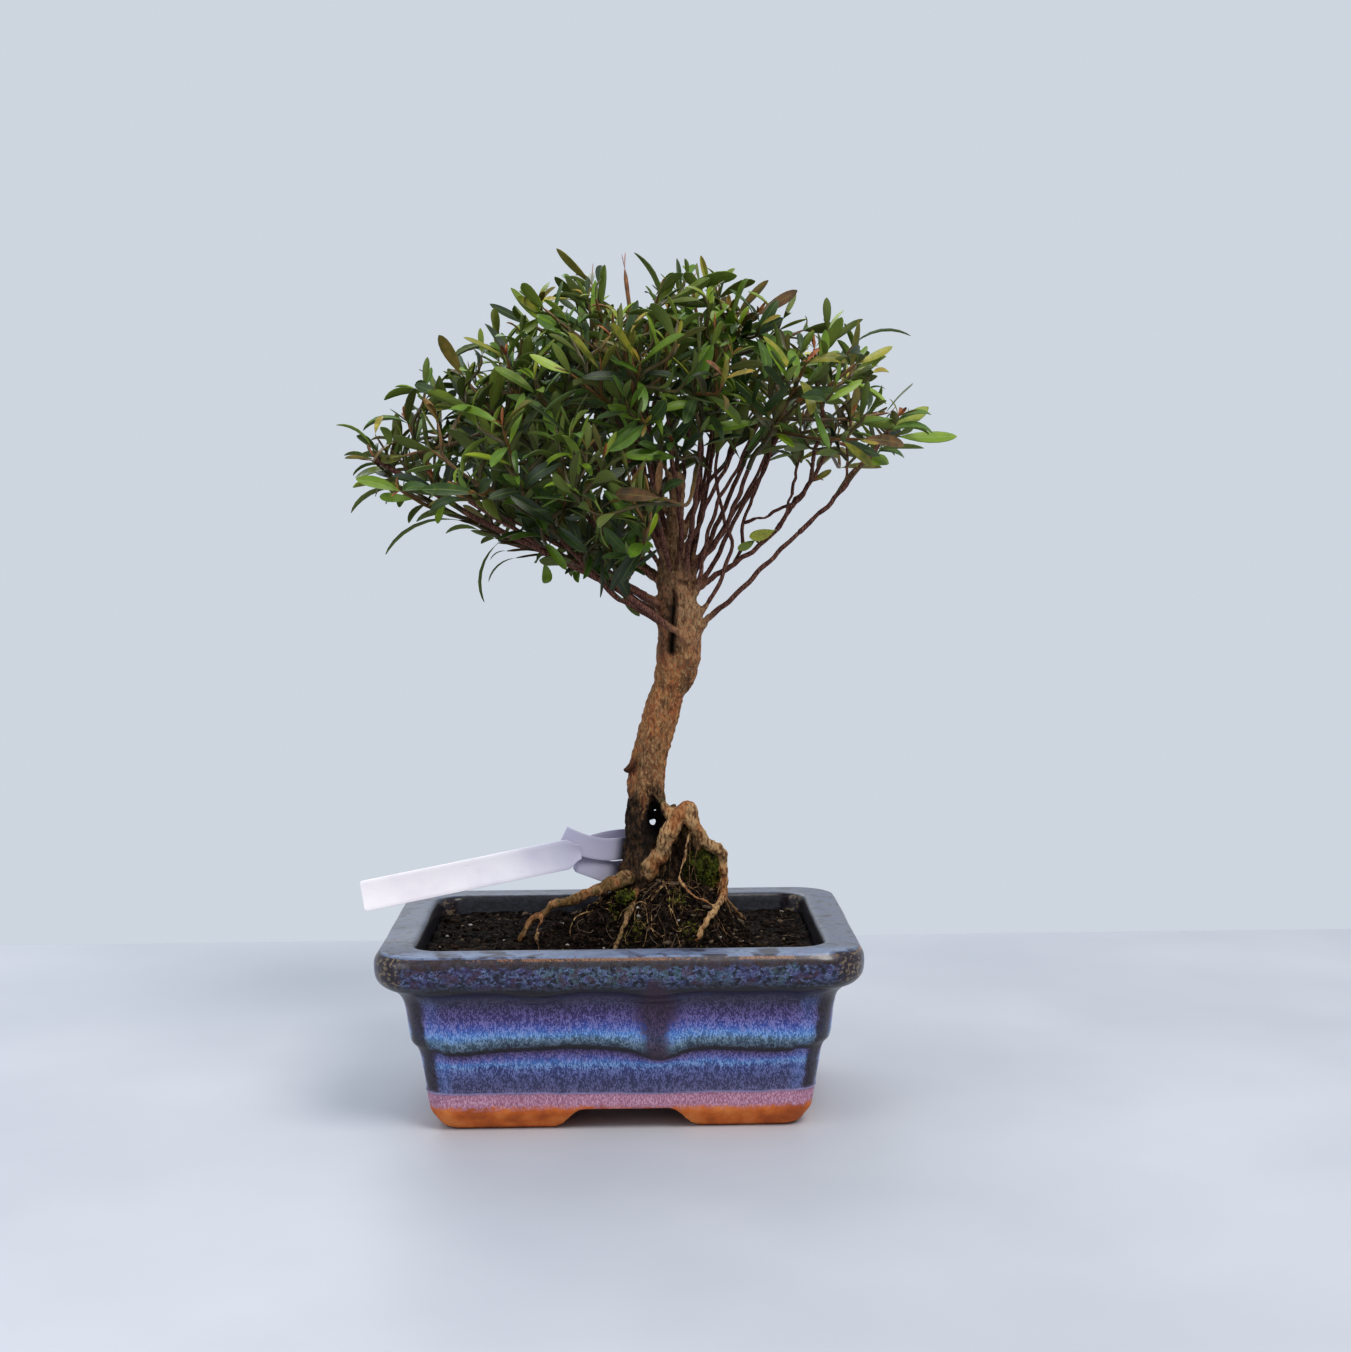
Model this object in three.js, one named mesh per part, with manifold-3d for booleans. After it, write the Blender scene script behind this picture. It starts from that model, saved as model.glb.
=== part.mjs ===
// A syzygium bonsai standing in its glazed, two-tiered, footed pot.
// Millimetres, +Z up, the pot's long front faces -Y. Everything is laid out from the centre of the pot's
// footprint, and the whole is then shifted so that the origin is the bottom centre of its bounding box.
import * as THREE from "three";
import { mergeVertices } from "three/addons/utils/BufferGeometryUtils.js";
import Module from "manifold-3d";

const wasm = await Module();
wasm.setup();

// Driving dimensions
const potLength = 200;
const potDepth = 150;
const potHeight = 77.3;
const rimWidth = 16;
const rimCornerRadius = 20;
const floorUnderside = 10;
const floorTop = 16;
const archHeight = 9.3;
const archCentreX = 2;
const drainHoleRadius = 8;
const drainHoleX = 38;
const soilLevel = 69.5;
const treeHeight = 364;
const canopyCentre = new THREE.Vector3(11, 0, 266);
const canopyReach = { left: 127, right: 130, front: 100, back: 100, up: 101, down: 46 };
const leafLength = 22;
const leafWidth = 6.4;
const labelWidth = 12.7;
const labelThickness = 0.8;
const fitGap = 0.3;
const seed = 41;
const upwards = new THREE.Vector3(0, 0, 1);

const finish = (color, roughness, metalness = 0) =>
  new THREE.MeshStandardMaterial({ color, roughness, metalness });
const glaze = finish(0x4d5a9a, 0.25);
const compost = finish(0x2b211b, 0.95);
const bark = finish(0x8d6a4b, 0.85);
const foliage = finish(0x4c7a2e, 0.45);
const mossGreen = finish(0x5f7d2a, 0.95);
const labelWhite = finish(0xe9e8ee, 0.5);
const meshBlack = finish(0x202022, 0.7);

// A closed solid from a three.js geometry
function solid(geometry) {
  geometry.deleteAttribute("normal");
  geometry.deleteAttribute("uv");
  const merged = mergeVertices(geometry, 1e-4);
  const made = new wasm.Manifold(
    new wasm.Mesh({
      numProp: 3,
      vertProperties: merged.attributes.position.array,
      triVerts: new Uint32Array(merged.index.array),
    }),
  );
  if (made.volume() <= 0) throw new Error("a solid's faces point inwards");
  return made;
}

const join = (solids) => solids.reduce((sum, one) => sum.add(one));
const largestBody = (made) =>
  made.decompose().reduce((most, one) => (one.volume() > most.volume() ? one : most));

const model = new THREE.Group();

function addNode(name, made, material) {
  const { numProp, vertProperties, triVerts } = made.getMesh();
  const positions = new Float32Array((vertProperties.length / numProp) * 3);
  for (let i = 0; i < positions.length / 3; i++)
    positions.set(vertProperties.subarray(i * numProp, i * numProp + 3), i * 3);
  const geometry = new THREE.BufferGeometry();
  geometry.setAttribute("position", new THREE.BufferAttribute(positions, 3));
  geometry.setIndex(new THREE.BufferAttribute(triVerts, 1));
  const mesh = new THREE.Mesh(geometry, material);
  mesh.name = name;
  model.add(mesh);
}

// Rounded rectangles: a turned profile is squared off, so that its radius becomes half the length
const cornerSteps = 4;
const ringSegments = 4 * cornerSteps;
const depthDifference = (potLength - potDepth) / 2;
const floorHalfLength = 60;

function roundedRectanglePoint(index, halfLength) {
  const shrink = Math.min(1, halfLength / floorHalfLength);
  const halfDepth = shrink * (Math.max(halfLength, floorHalfLength) - depthDifference);
  const inset = potLength / 2 - halfLength;
  const radius = shrink * Math.max(7, rimCornerRadius - 0.5 * inset);
  const quadrant = Math.floor(index / cornerSteps);
  const turn = -Math.PI / 2 + ((quadrant + (index % cornerSteps) / (cornerSteps - 1)) * Math.PI) / 2;
  const side = [1, 1, -1, -1][quadrant];
  const end = [-1, 1, 1, -1][quadrant];
  return new THREE.Vector2(
    side * (halfLength - radius) + radius * Math.cos(turn),
    end * (halfDepth - radius) + radius * Math.sin(turn),
  );
}

function squaredLathe(profile, heightAt = (x, y, z) => z) {
  const geometry = new THREE.LatheGeometry(
    profile.map(([radius, z]) => new THREE.Vector2(radius, z)),
    ringSegments,
  );
  const place = geometry.attributes.position;
  for (let i = 0; i < place.count; i++) {
    const [radius, z] = profile[i % profile.length];
    const ringIndex = Math.floor(i / profile.length) % ringSegments;
    const { x, y } = roundedRectanglePoint(ringIndex, radius);
    place.setXYZ(i, x, y, heightAt(x, y, z));
  }
  return solid(geometry);
}

// The pot: feet, two tiers with a belt ledge, an overhanging rim and a hollow inside
const half = potLength / 2;
const innerWall = [
  [half - rimWidth - 1.2, 70],
  [half - 23, 36],
  [half - 28, 18.5],
  [half - 30.5, floorTop],
];

function potBody() {
  const outside = [
    [72, 0],
    [74.5, 2],
    [79, 8],
    [80.3, 15],
    [83.1, 32.5],
    [84.1, 35.4],
    [86.2, 38.2],
    [88.3, 52.5],
    [89.6, 57],
    [92.4, 60.2],
    [96.5, 62.6],
    [99.2, 65.8],
    [100, 69.8],
    [99.7, 74.2],
    [97.8, potHeight],
  ];
  const rimTop = [
    [half - rimWidth + 1, potHeight],
    [half - rimWidth, 76],
  ];
  const underside = [
    [0, floorUnderside],
    [57, floorUnderside],
    [58.5, 0],
  ];
  return squaredLathe([...underside, ...outside, ...rimTop, ...innerWall, [0, floorTop]]);
}

// An ogee-sided arch between two feet, cut right through the pot's skirt along Y
function archCutter(topWidth, bottomWidth) {
  const below = -5;
  const outline = new THREE.Shape();
  outline.moveTo(-bottomWidth / 2, below);
  outline.lineTo(bottomWidth / 2, below);
  outline.lineTo(bottomWidth / 2, 0);
  outline.bezierCurveTo(bottomWidth / 2 - 5, 1, topWidth / 2 + 5, archHeight - 1, topWidth / 2, archHeight);
  outline.lineTo(-topWidth / 2, archHeight);
  outline.bezierCurveTo(-topWidth / 2 - 5, archHeight - 1, 5 - bottomWidth / 2, 1, -bottomWidth / 2, 0);
  const cutter = new THREE.ExtrudeGeometry(outline, {
    depth: potLength + 20,
    bevelEnabled: false,
    curveSegments: 4,
  });
  return cutter.translate(0, 0, -half - 10).rotateX(Math.PI / 2);
}

function drainHole(side) {
  const hole = new THREE.CylinderGeometry(drainHoleRadius, drainHoleRadius, 20, 18);
  return solid(hole.rotateX(Math.PI / 2).translate(side * drainHoleX, 0, (floorTop + floorUnderside) / 2));
}

const pot = potBody()
  .subtract(solid(archCutter(37, 60).translate(archCentreX, 0, 0)))
  .subtract(solid(archCutter(30, 50).rotateZ(Math.PI / 2)))
  .subtract(drainHole(-1))
  .subtract(drainHole(1));
addNode("pot", pot, glaze);

// Plastic mesh squares over the drain holes: two crossed rows of bars
const meshSide = 26;
const meshThickness = 0.9;
const meshBars = 3;
const meshBarWidth = 3;

function drainMesh(side) {
  const pitch = (meshSide - meshBarWidth) / (meshBars - 1);
  const bars = [];
  for (let k = 0; k < meshBars; k++) {
    const offset = (k - (meshBars - 1) / 2) * pitch;
    bars.push(solid(new THREE.BoxGeometry(meshSide, meshBarWidth, meshThickness).translate(0, offset, 0)));
    bars.push(solid(new THREE.BoxGeometry(meshBarWidth, meshSide, meshThickness).translate(offset, 0, 0)));
  }
  return join(bars).translate([side * drainHoleX, 0, floorTop + fitGap + meshThickness / 2]);
}
addNode("drain_mesh_left", drainMesh(-1), meshBlack);
addNode("drain_mesh_right", drainMesh(1), meshBlack);

// Round wood: a cylinder bent along a smooth curve, its radius given along the way. Grown by some tenths of a
// millimetre it is thicker and longer, and cuts the hole that it stands in.
const curveThrough = (points) => new THREE.CatmullRomCurve3(points.map((p) => new THREE.Vector3(...p)));

function tube(curve, radiusAt, sides, steps, grow = 0) {
  const frames = curve.computeFrenetFrames(steps, false);
  const geometry = new THREE.CylinderGeometry(1, 1, 1, sides, steps);
  const place = geometry.attributes.position;
  const point = new THREE.Vector3();
  for (let i = 0; i < place.count; i++) {
    const along = THREE.MathUtils.clamp(place.getY(i) + 0.5, 0, 1);
    const ring = Math.round(along * steps);
    curve.getPointAt(along, point);
    const radius = radiusAt(along, point, Math.atan2(place.getZ(i), place.getX(i))) + grow;
    const end = ring === 0 ? -1 : ring === steps ? 1 : 0;
    point.addScaledVector(frames.tangents[ring], end * grow);
    point.addScaledVector(frames.normals[ring], place.getX(i) * radius);
    point.addScaledVector(frames.binormals[ring], -place.getZ(i) * radius);
    place.setXYZ(i, point.x, point.y, point.z);
  }
  return solid(geometry);
}

const taper = (from, to) => (along) => THREE.MathUtils.lerp(from, to, along);

// The trunk leans to the right, swells under the fork and ends in a sawn-off leader
const trunkCurve = curveThrough([
  [9, 0, 76],
  [9.5, 0, 98],
  [12, 1, 125],
  [13, 2, 146],
  [19, 2, 170],
  [25.5, 0, 190],
  [26.5, -1, 211],
  [23.5, 0, 230],
  [25.5, 1, 252],
  [26.5, 1, 271],
]);
const trunkGirth = [
  [76, 11.5],
  [98, 9.8],
  [110, 8.4],
  [134, 7.7],
  [178, 7.2],
  [189, 9.2],
  [212, 9.2],
  [223, 6.7],
  [234, 5.2],
  [246, 3.4],
  [271, 3.1],
];

function trunkRadius(height) {
  const after = trunkGirth.findIndex(([z]) => z >= height);
  if (after <= 0) return trunkGirth.at(after)[1];
  const [[z0, r0], [z1, r1]] = trunkGirth.slice(after - 1, after + 1);
  return THREE.MathUtils.mapLinear(height, z0, z1, r0, r1);
}

// Exposed roots: an arching one in front, surface roots on all sides, fine ones hanging from the arch
const archTop = [28.5, -13, 126.5];
const archShoulder = [35, -11, 116];
const archElbow = [42, -8, 108.5];
const roots = [
  {
    girth: [4.6, 2.6],
    path: [[9, -5, 94], [15, -10, 105], [21, -13, 115], archTop, archShoulder, archElbow],
  },
  { girth: [3.2, 2.2], path: [archShoulder, archElbow, [44.5, -6, 99], [44.3, -5, 84]] },
  {
    girth: [4.8, 1.3],
    path: [
      [8, -4, 99], [-5, -13, 95.5], [-18, -17, 91], [-30, -19.5, 86.5], [-37, -21, 81.5], [-42, -22, 73],
    ],
  },
  { girth: [1.3, 0.9], path: [[-31, -19, 86], [-35, -26, 79], [-34, -32, 70]] },
  {
    girth: [1.3, 1.1],
    path: [
      [30, -12, 118], [28, -17, 109], [25.5, -19.5, 100], [29, -22, 93.5], [35, -23, 90], [42, -22, 86.5],
    ],
  },
  { girth: [1.7, 1.3], path: [[45, -13, 92], [42, -21, 87.5], [37, -27, 82], [32, -32, 74]] },
  { girth: [4.2, 1.4], path: [[12, 3, 97], [6, 18, 92], [-2, 31, 82], [-8, 43, 71]] },
  { girth: [4.0, 1.4], path: [[13, 2, 97], [30, 15, 92], [45, 25, 81], [56, 33, 70]] },
  { girth: [2.6, 2.2], path: [[13, 4, 131], [17, 14, 122], [18.5, 19.5, 108], [17, 21, 84]] },
  { girth: [3.0, 1.2], path: [[8, -5, 96], [5, -19, 90], [0, -32, 80], [-4, -42, 69]] },
  { girth: [3.4, 2.6], path: [[14, -2, 139], [18.5, -5.5, 131.5], [23, -9.5, 127], [28, -12.5, 125]] },
];

// The trunk's foot is hollow in front, between its left side and the arching root
const footHollow = { centre: [15, -6, 121.5], size: [3.8, 8, 8.5] };

function trunkBody(grow) {
  const fluted = (along, { z }, angle) =>
    trunkRadius(z) * (1 + 0.07 * Math.sin(3 * angle + z / 18) + 0.04 * Math.sin(5 * angle - z / 11));
  const hollow = new THREE.SphereGeometry(1, 10, 7).scale(...footHollow.size).translate(...footHollow.centre);
  return tube(trunkCurve, fluted, 10, 22, grow).subtract(solid(hollow));
}

function rootSystem(grow) {
  const oneRoot = ({ girth, path }) => {
    const sides = girth[0] > 2 ? 6 : 4;
    return tube(curveThrough(path), taper(...girth), sides, Math.round(1.5 * path.length), grow);
  };
  return join(roots.map(oneRoot));
}

// Limbs: three rings of them leave the trunk round the fork, each carrying one leafy spray
const rings = [
  { count: 7, firstAngle: 180, spread: [98, 74], height: 264, fork: 199, forkStep: 3 },
  { count: 6, firstAngle: 210, spread: [68, 56], height: 298, fork: 219, forkStep: 2 },
  { count: 3, firstAngle: 250, spread: [34, 30], height: 326, fork: 232, forkStep: 3 },
];
const limbRadius = { root: 2.3, tip: 1.4 };
const limbShare = 0.66;
const limbBow = { outwards: 4.5, down: 3.6 };

function random(start) {
  let state = start;
  return () => {
    state = (state + 0x6d2b79f5) | 0;
    let t = Math.imul(state ^ (state >>> 15), 1 | state);
    t = (t + Math.imul(t ^ (t >>> 7), 61 | t)) ^ t;
    return ((t ^ (t >>> 14)) >>> 0) / 4294967296;
  };
}
const draw = random(seed);
const between = (low, high) => low + (high - low) * draw();

const trunkPoints = trunkCurve.getSpacedPoints(250);
const trunkPointAt = (height) => trunkPoints.find(({ z }) => z >= height).clone();

function limbsOfRing({ count, firstAngle, spread, height, fork, forkStep }) {
  return Array.from({ length: count }, (_, k) => {
    const angle = THREE.MathUtils.degToRad(firstAngle + (360 / count) * k + between(-5, 5));
    const outwards = new THREE.Vector3(Math.cos(angle), Math.sin(angle), 0);
    const from = trunkPointAt(fork + forkStep * (k % 4));
    const target = outwards.clone().multiply(new THREE.Vector3(...spread, 0)).add(canopyCentre);
    target.z = height + between(-5, 5);
    const to = from.clone().lerp(target, limbShare);
    const bend = from.clone().lerp(to, 0.5).addScaledVector(outwards, limbBow.outwards);
    bend.z -= limbBow.down;
    return { curve: new THREE.CatmullRomCurve3([from, bend, to]), target };
  });
}
const limbs = rings.flatMap(limbsOfRing);
const limbTubes = limbs.map(({ curve }) => tube(curve, taper(limbRadius.root, limbRadius.tip), 5, 3));
addNode("tree", join([trunkBody(0), rootSystem(0), ...limbTubes]), bark);

// Room kept between nodes: each twig and leaf is held as a fat line, tested against those of other sprays
const taken = [];
const roomBetween = 0.8;

function lineGap(a, b) {
  const u = a.to.clone().sub(a.from);
  const v = b.to.clone().sub(b.from);
  const w = a.from.clone().sub(b.from);
  const uu = u.dot(u);
  const uv = u.dot(v);
  const vv = v.dot(v);
  const flat = uu * vv - uv * uv;
  let s = flat > 1e-9 ? THREE.MathUtils.clamp((uv * v.dot(w) - vv * u.dot(w)) / flat, 0, 1) : 0;
  const t = THREE.MathUtils.clamp((uv * s + v.dot(w)) / vv, 0, 1);
  s = THREE.MathUtils.clamp((uv * t - u.dot(w)) / uu, 0, 1);
  return w.addScaledVector(u, s).addScaledVector(v, -t).length() - a.radius - b.radius;
}

// A spray's own twigs may meet each other, but its leaves keep clear of all that is there already
const isClear = (line) =>
  taken.every((other) => (line.twig && other.owner === line.owner) || lineGap(line, other) > roomBetween);

function twigLines(curve, radius, owner, count) {
  const points = curve.getSpacedPoints(count);
  return points.slice(1).map((to, i) => ({ from: points[i], to, radius, owner, twig: true }));
}
limbs.forEach(({ curve }, k) => taken.push(...twigLines(curve, limbRadius.root, "limb" + k, 4)));
taken.push(...twigLines(trunkCurve, 9, "trunk", 12));

// How far the canopy reaches from its centre in a direction: an ellipsoid, flattened over the left shoulder
// and drawn out at the right one. Elevation and width are in degrees, more is a share of the reach.
const shoulders = [
  { side: -1, elevation: 37, width: 19, more: -0.14 },
  { side: 1, elevation: 57, width: 12, more: -0.08 },
  { side: 1, elevation: 32, width: 9, more: 0.08 },
];

function reachAlong(direction) {
  const { left, right, front, back, up, down } = canopyReach;
  const x = direction.x / (direction.x < 0 ? left : right);
  const y = direction.y / (direction.y < 0 ? front : back);
  const z = direction.z / (direction.z < 0 ? down : up);
  const level = Math.hypot(direction.x, direction.y);
  const elevation = THREE.MathUtils.radToDeg(Math.atan2(direction.z, level));
  const sideways = (direction.x / level) ** 2;
  const swelling = ({ side, elevation: middle, width, more }) =>
    side * direction.x > 0 ? more * sideways * Math.exp(-(((elevation - middle) / width) ** 2)) : 0;
  return (1 + shoulders.reduce((sum, one) => sum + swelling(one), 0)) / Math.hypot(x, y, z);
}

// A leaf blade: narrow, pointed at both ends, keeled along its midrib and arched to its tip. It is a sphere
// of three sides and four rings of points, drawn out along the blade.
const leafStations = [
  { along: -0.015, halfWidth: 0, keel: 0, rise: 0 },
  { along: 0.28, halfWidth: 0.48, keel: 1.1, rise: 0.05 },
  { along: 0.7, halfWidth: 0.43, keel: 0.8, rise: 0.05 },
  { along: 1, halfWidth: 0, keel: 0, rise: -0.08 },
];
const sphereSide = 0.75;
const bladeShift = 0.15;

function leaf({ from, along, across, length, width }) {
  const geometry = new THREE.SphereGeometry(1, 3, leafStations.length - 1);
  const place = geometry.attributes.position;
  const underside = across.clone().cross(along);
  for (let i = 0; i < place.count; i++) {
    const station = leafStations[Math.round((1 - place.getY(i)) * 1.5)];
    const sideways = (-place.getZ(i) / sphereSide) * station.halfWidth * width;
    const keel = (bladeShift - place.getX(i)) * station.keel;
    const point = from.clone().addScaledVector(along, station.along * length);
    point.addScaledVector(across, sideways);
    point.addScaledVector(underside, keel - station.rise * length);
    place.setXYZ(i, point.x, point.y, point.z);
  }
  return solid(geometry);
}

// Leaves stand in opposite pairs, each pair crossing the next, and open least at the shoot's end. One that
// would touch another is turned about its shoot, and left out if five turns don't clear it.
const pairSpacing = 8.5;
const leafOpening = { low: 42, high: 62, endPairLess: 14 };
const turnStep = 23;
const lowestLeaf = 200;
const stalkLength = 5;

function freeLeaf(from, tangent, side, isEndPair, isCrossed, owner) {
  const level = tangent.clone().cross(upwards).normalize().multiplyScalar(side);
  for (let attempt = 0; attempt < 5; attempt++) {
    const turn = THREE.MathUtils.degToRad((isCrossed ? 90 : 0) + attempt * turnStep + between(-14, 14));
    const closing = isEndPair ? leafOpening.endPairLess : 0;
    const open = THREE.MathUtils.degToRad(between(leafOpening.low, leafOpening.high) - closing);
    const out = level.clone().applyAxisAngle(tangent, turn);
    const along = tangent.clone().multiplyScalar(Math.cos(open)).addScaledVector(out, Math.sin(open));
    const across = tangent.clone().cross(along).normalize();
    const length = leafLength * between(0.82, 1.14);
    const width = leafWidth * between(0.9, 1.1);
    const tip = from.clone().addScaledVector(along, length);
    const bladeStart = from.clone().addScaledVector(along, stalkLength);
    const line = { from: bladeStart, to: tip, radius: leafWidth * 0.36, owner };
    if (tip.z > treeHeight || tip.z < lowestLeaf || !isClear(line)) continue;
    taken.push(line);
    return [leaf({ from, along, across, length, width })];
  }
  return [];
}

function leafPairs(shoot, pairs, owner) {
  const blades = [];
  for (let pair = 0; pair < pairs; pair++) {
    const share = 0.97 - (pair * pairSpacing) / shoot.getLength();
    if (share < 0.2) break;
    const from = shoot.getPointAt(share);
    const tangent = shoot.getTangentAt(share);
    for (const side of [-1, 1])
      blades.push(...freeLeaf(from, tangent, side, pair === 0, pair % 2 === 1, owner));
  }
  return blades;
}

// A leafy spray: a leading twig goes on from the limb's end, and side shoots fan out from it to the canopy's
// surface. A shoot that would cross another spray is turned aside, and left out if eight turns fail.
const pairsOnShoots = [3, 2, 3, 2];
const leadRadius = { root: 1.4, tip: 1 };
const shootRadius = { root: 1.35, tip: 1.1 };
const shootReach = 0.86;
const fanSpread = 0.3;

function freeShoot(lead, outward, index, number, owner) {
  const isLast = number === pairsOnShoots.length - 1;
  const from = lead.getPointAt(Math.min(0.98, 0.4 + 0.19 * number));
  const side = new THREE.Vector3(-outward.y, outward.x, 0).normalize();
  const over = outward.clone().cross(side);
  for (let attempt = 0; attempt < 8; attempt++) {
    const turn = (number / pairsOnShoots.length) * 2 * Math.PI + index + between(-0.4, 0.4);
    const spread = isLast ? 0.04 : fanSpread + 0.05 * attempt;
    const aim = outward.clone().addScaledVector(side, spread * Math.cos(turn));
    aim.addScaledVector(over, spread * Math.sin(turn)).normalize();
    const end = canopyCentre.clone().addScaledVector(aim, reachAlong(aim) * (shootReach - 0.02 * attempt));
    const sag = from.clone().lerp(end, 0.5).addScaledVector(upwards, -1.5);
    const shoot = new THREE.CatmullRomCurve3([from, sag, end]);
    const outerPart = new THREE.LineCurve3(shoot.getPointAt(0.3), end);
    const lines = twigLines(outerPart, 1, owner, 2);
    if (!lines.every(isClear)) continue;
    taken.push(...lines);
    return [
      tube(shoot, taper(shootRadius.root, shootRadius.tip), 3, 2),
      ...leafPairs(shoot, pairsOnShoots[number], owner),
    ];
  }
  return [];
}

function spray({ curve, target }, index) {
  const owner = "spray" + index;
  const heading = curve.getTangentAt(1);
  const start = curve.getPointAt(1).addScaledVector(heading, fitGap);
  const outward = target.clone().sub(canopyCentre).normalize();
  const lead = new THREE.CatmullRomCurve3([
    start,
    start.clone().addScaledVector(heading, 6),
    start.clone().lerp(target, 0.55),
    target.clone().addScaledVector(outward, 4),
  ]);
  taken.push(...twigLines(lead, 1.2, owner, 3));
  const pieces = [tube(lead, taper(leadRadius.root, leadRadius.tip), 5, 3)];
  pairsOnShoots.forEach((pairs, number) => pieces.push(...freeShoot(lead, outward, index, number, owner)));
  return largestBody(join(pieces));
}
limbs.forEach((limb, k) => addNode("spray_" + String(k + 1).padStart(2, "0"), spray(limb, k), foliage));

// The compost fills the pot, mounds up under the trunk and stands clear of the roots in plain holes
const mound = { x: 22, y: -3, height: 26, radius: 27.5 };
const ridge = { fromX: 8, toX: -42, fromHeight: 25, toHeight: 4, width: 10 };

function soilHeight(x, y) {
  const fromMound = Math.hypot(x - mound.x, y - mound.y) / mound.radius;
  const moundHeight = mound.height * Math.exp(-(fromMound ** 4));
  const share = THREE.MathUtils.clamp((x - ridge.fromX) / (ridge.toX - ridge.fromX), 0, 1);
  const beyondEnds = Math.max(0, x - ridge.fromX, ridge.toX - x);
  const fromRidge = Math.hypot(y + 6 + 16 * share, beyondEnds) / ridge.width;
  const crest = THREE.MathUtils.lerp(ridge.fromHeight, ridge.toHeight, share);
  const ridgeHeight = crest * Math.exp(-(fromRidge ** 2));
  const lumps = 0.8 * Math.sin(x / 5.3) * Math.cos(y / 4.7) + 0.5 * Math.sin((x + y) / 3.1);
  return soilLevel + Math.max(moundHeight, ridgeHeight) + lumps;
}

const sideGap = 0.55;

function soilBody() {
  const bottom = floorTop + fitGap;
  const [atTop, ...wall] = innerWall.map(([radius, z]) => [radius - sideGap, Math.max(z, bottom)]);
  const topRings = [atTop[0], 72, 62, 53, 44, 36, 28, 20, 10, 0].map((radius) => [radius, soilLevel]);
  const raise = (x, y, z) => (z === soilLevel ? soilHeight(x, y) : z);
  return squaredLathe([[0, bottom], ...wall.reverse(), ...topRings], raise);
}

function meshPocket(side) {
  const pocketSide = meshSide + 2 * fitGap;
  const pocket = new THREE.BoxGeometry(pocketSide, pocketSide, 2 * (meshThickness + fitGap));
  return solid(pocket.translate(side * drainHoleX, 0, floorTop + fitGap));
}

const rootGap = 1.3 * fitGap;
const rootHoles = trunkBody(rootGap).add(rootSystem(rootGap));
const soil = soilBody().subtract(rootHoles).subtract(meshPocket(-1)).subtract(meshPocket(1));
addNode("soil", largestBody(soil), compost);

// Moss cushions on the mound, under the arch and at the trunk's foot
const mossCushions = [
  { name: "moss_arch", centre: [35.5, -3, 99], size: [8.5, 7.5, 10.5] },
  { name: "moss_foot", centre: [1, -17, 93], size: [6.5, 6, 4.5] },
];
const raisedSoil = soilBody().translate([0, 0, 1.6 * fitGap]);
mossCushions.forEach(({ name, centre, size }) => {
  const geometry = new THREE.SphereGeometry(1, 9, 6);
  const place = geometry.attributes.position;
  for (let i = 0; i < place.count; i++) {
    const point = new THREE.Vector3().fromBufferAttribute(place, i);
    const lump = 1 + 0.09 * Math.sin(5 * point.x + 4 * point.z) * Math.cos(6 * point.y);
    point.multiplyScalar(lump).multiply(new THREE.Vector3(...size));
    point.add(new THREE.Vector3(...centre));
    place.setXYZ(i, point.x, point.y, point.z);
  }
  addNode(name, largestBody(solid(geometry).subtract(rootHoles).subtract(raisedSoil)), mossGreen);
});

// The plant label: a plain strip whose tail loops round the root behind the trunk
function ribbon(curve, heights, steps) {
  const geometry = new THREE.BoxGeometry(1, 1, 1, steps, 1, 1);
  const place = geometry.attributes.position;
  for (let i = 0; i < place.count; i++) {
    const along = THREE.MathUtils.clamp(place.getX(i) + 0.5, 0, 1);
    const tangent = curve.getTangentAt(along);
    const across = tangent.clone().cross(upwards).normalize();
    const upright = across.clone().cross(tangent);
    const point = curve.getPointAt(along);
    point.addScaledVector(upright, place.getY(i) * THREE.MathUtils.lerp(...heights, along));
    point.addScaledVector(across, place.getZ(i) * labelThickness);
    place.setXYZ(i, point.x, point.y, point.z);
  }
  return solid(geometry);
}

const labelTailWidth = 9.5;
const labelStrip = curveThrough([
  [-108, -30, 95.4],
  [-19, -8, 111.8],
]);
const labelLoop = curveThrough([
  [-24, -8.4, 112],
  [-13, -3, 111],
  [-2, 8, 109],
  [10, 13.4, 107],
  [18, 14.7, 106.5],
  [22.1, 17.4, 106.5],
  [21.7, 22.2, 106.5],
  [17, 24.8, 107],
  [8, 24, 108],
  [-4, 16, 109.5],
  [-14, 3, 112],
  [-22, -9, 114],
]);
const strip = ribbon(labelStrip, [labelWidth, labelWidth], 1);
const tail = ribbon(labelLoop, [labelWidth, labelTailWidth], 32);
addNode("label", strip.add(tail), labelWhite);

// The origin is the bottom centre of everything
const bounds = new THREE.Box3().setFromObject(model);
const middle = bounds.getCenter(new THREE.Vector3());
model.position.set(-middle.x, -middle.y, -bounds.min.z);

export default model;
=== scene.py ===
"""A syzygium bonsai in its glazed two-tiered pot: bark, leaves, roots, compost, moss, glaze and label.

Everything is laid out in millimetres from the centre of the pot's footprint, as in the part's source, and put
into the row frame when a piece is finished.
"""

import math
import random

import bmesh
import bpy
import numpy as np
from mathutils import Matrix, Vector, kdtree, noise


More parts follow.
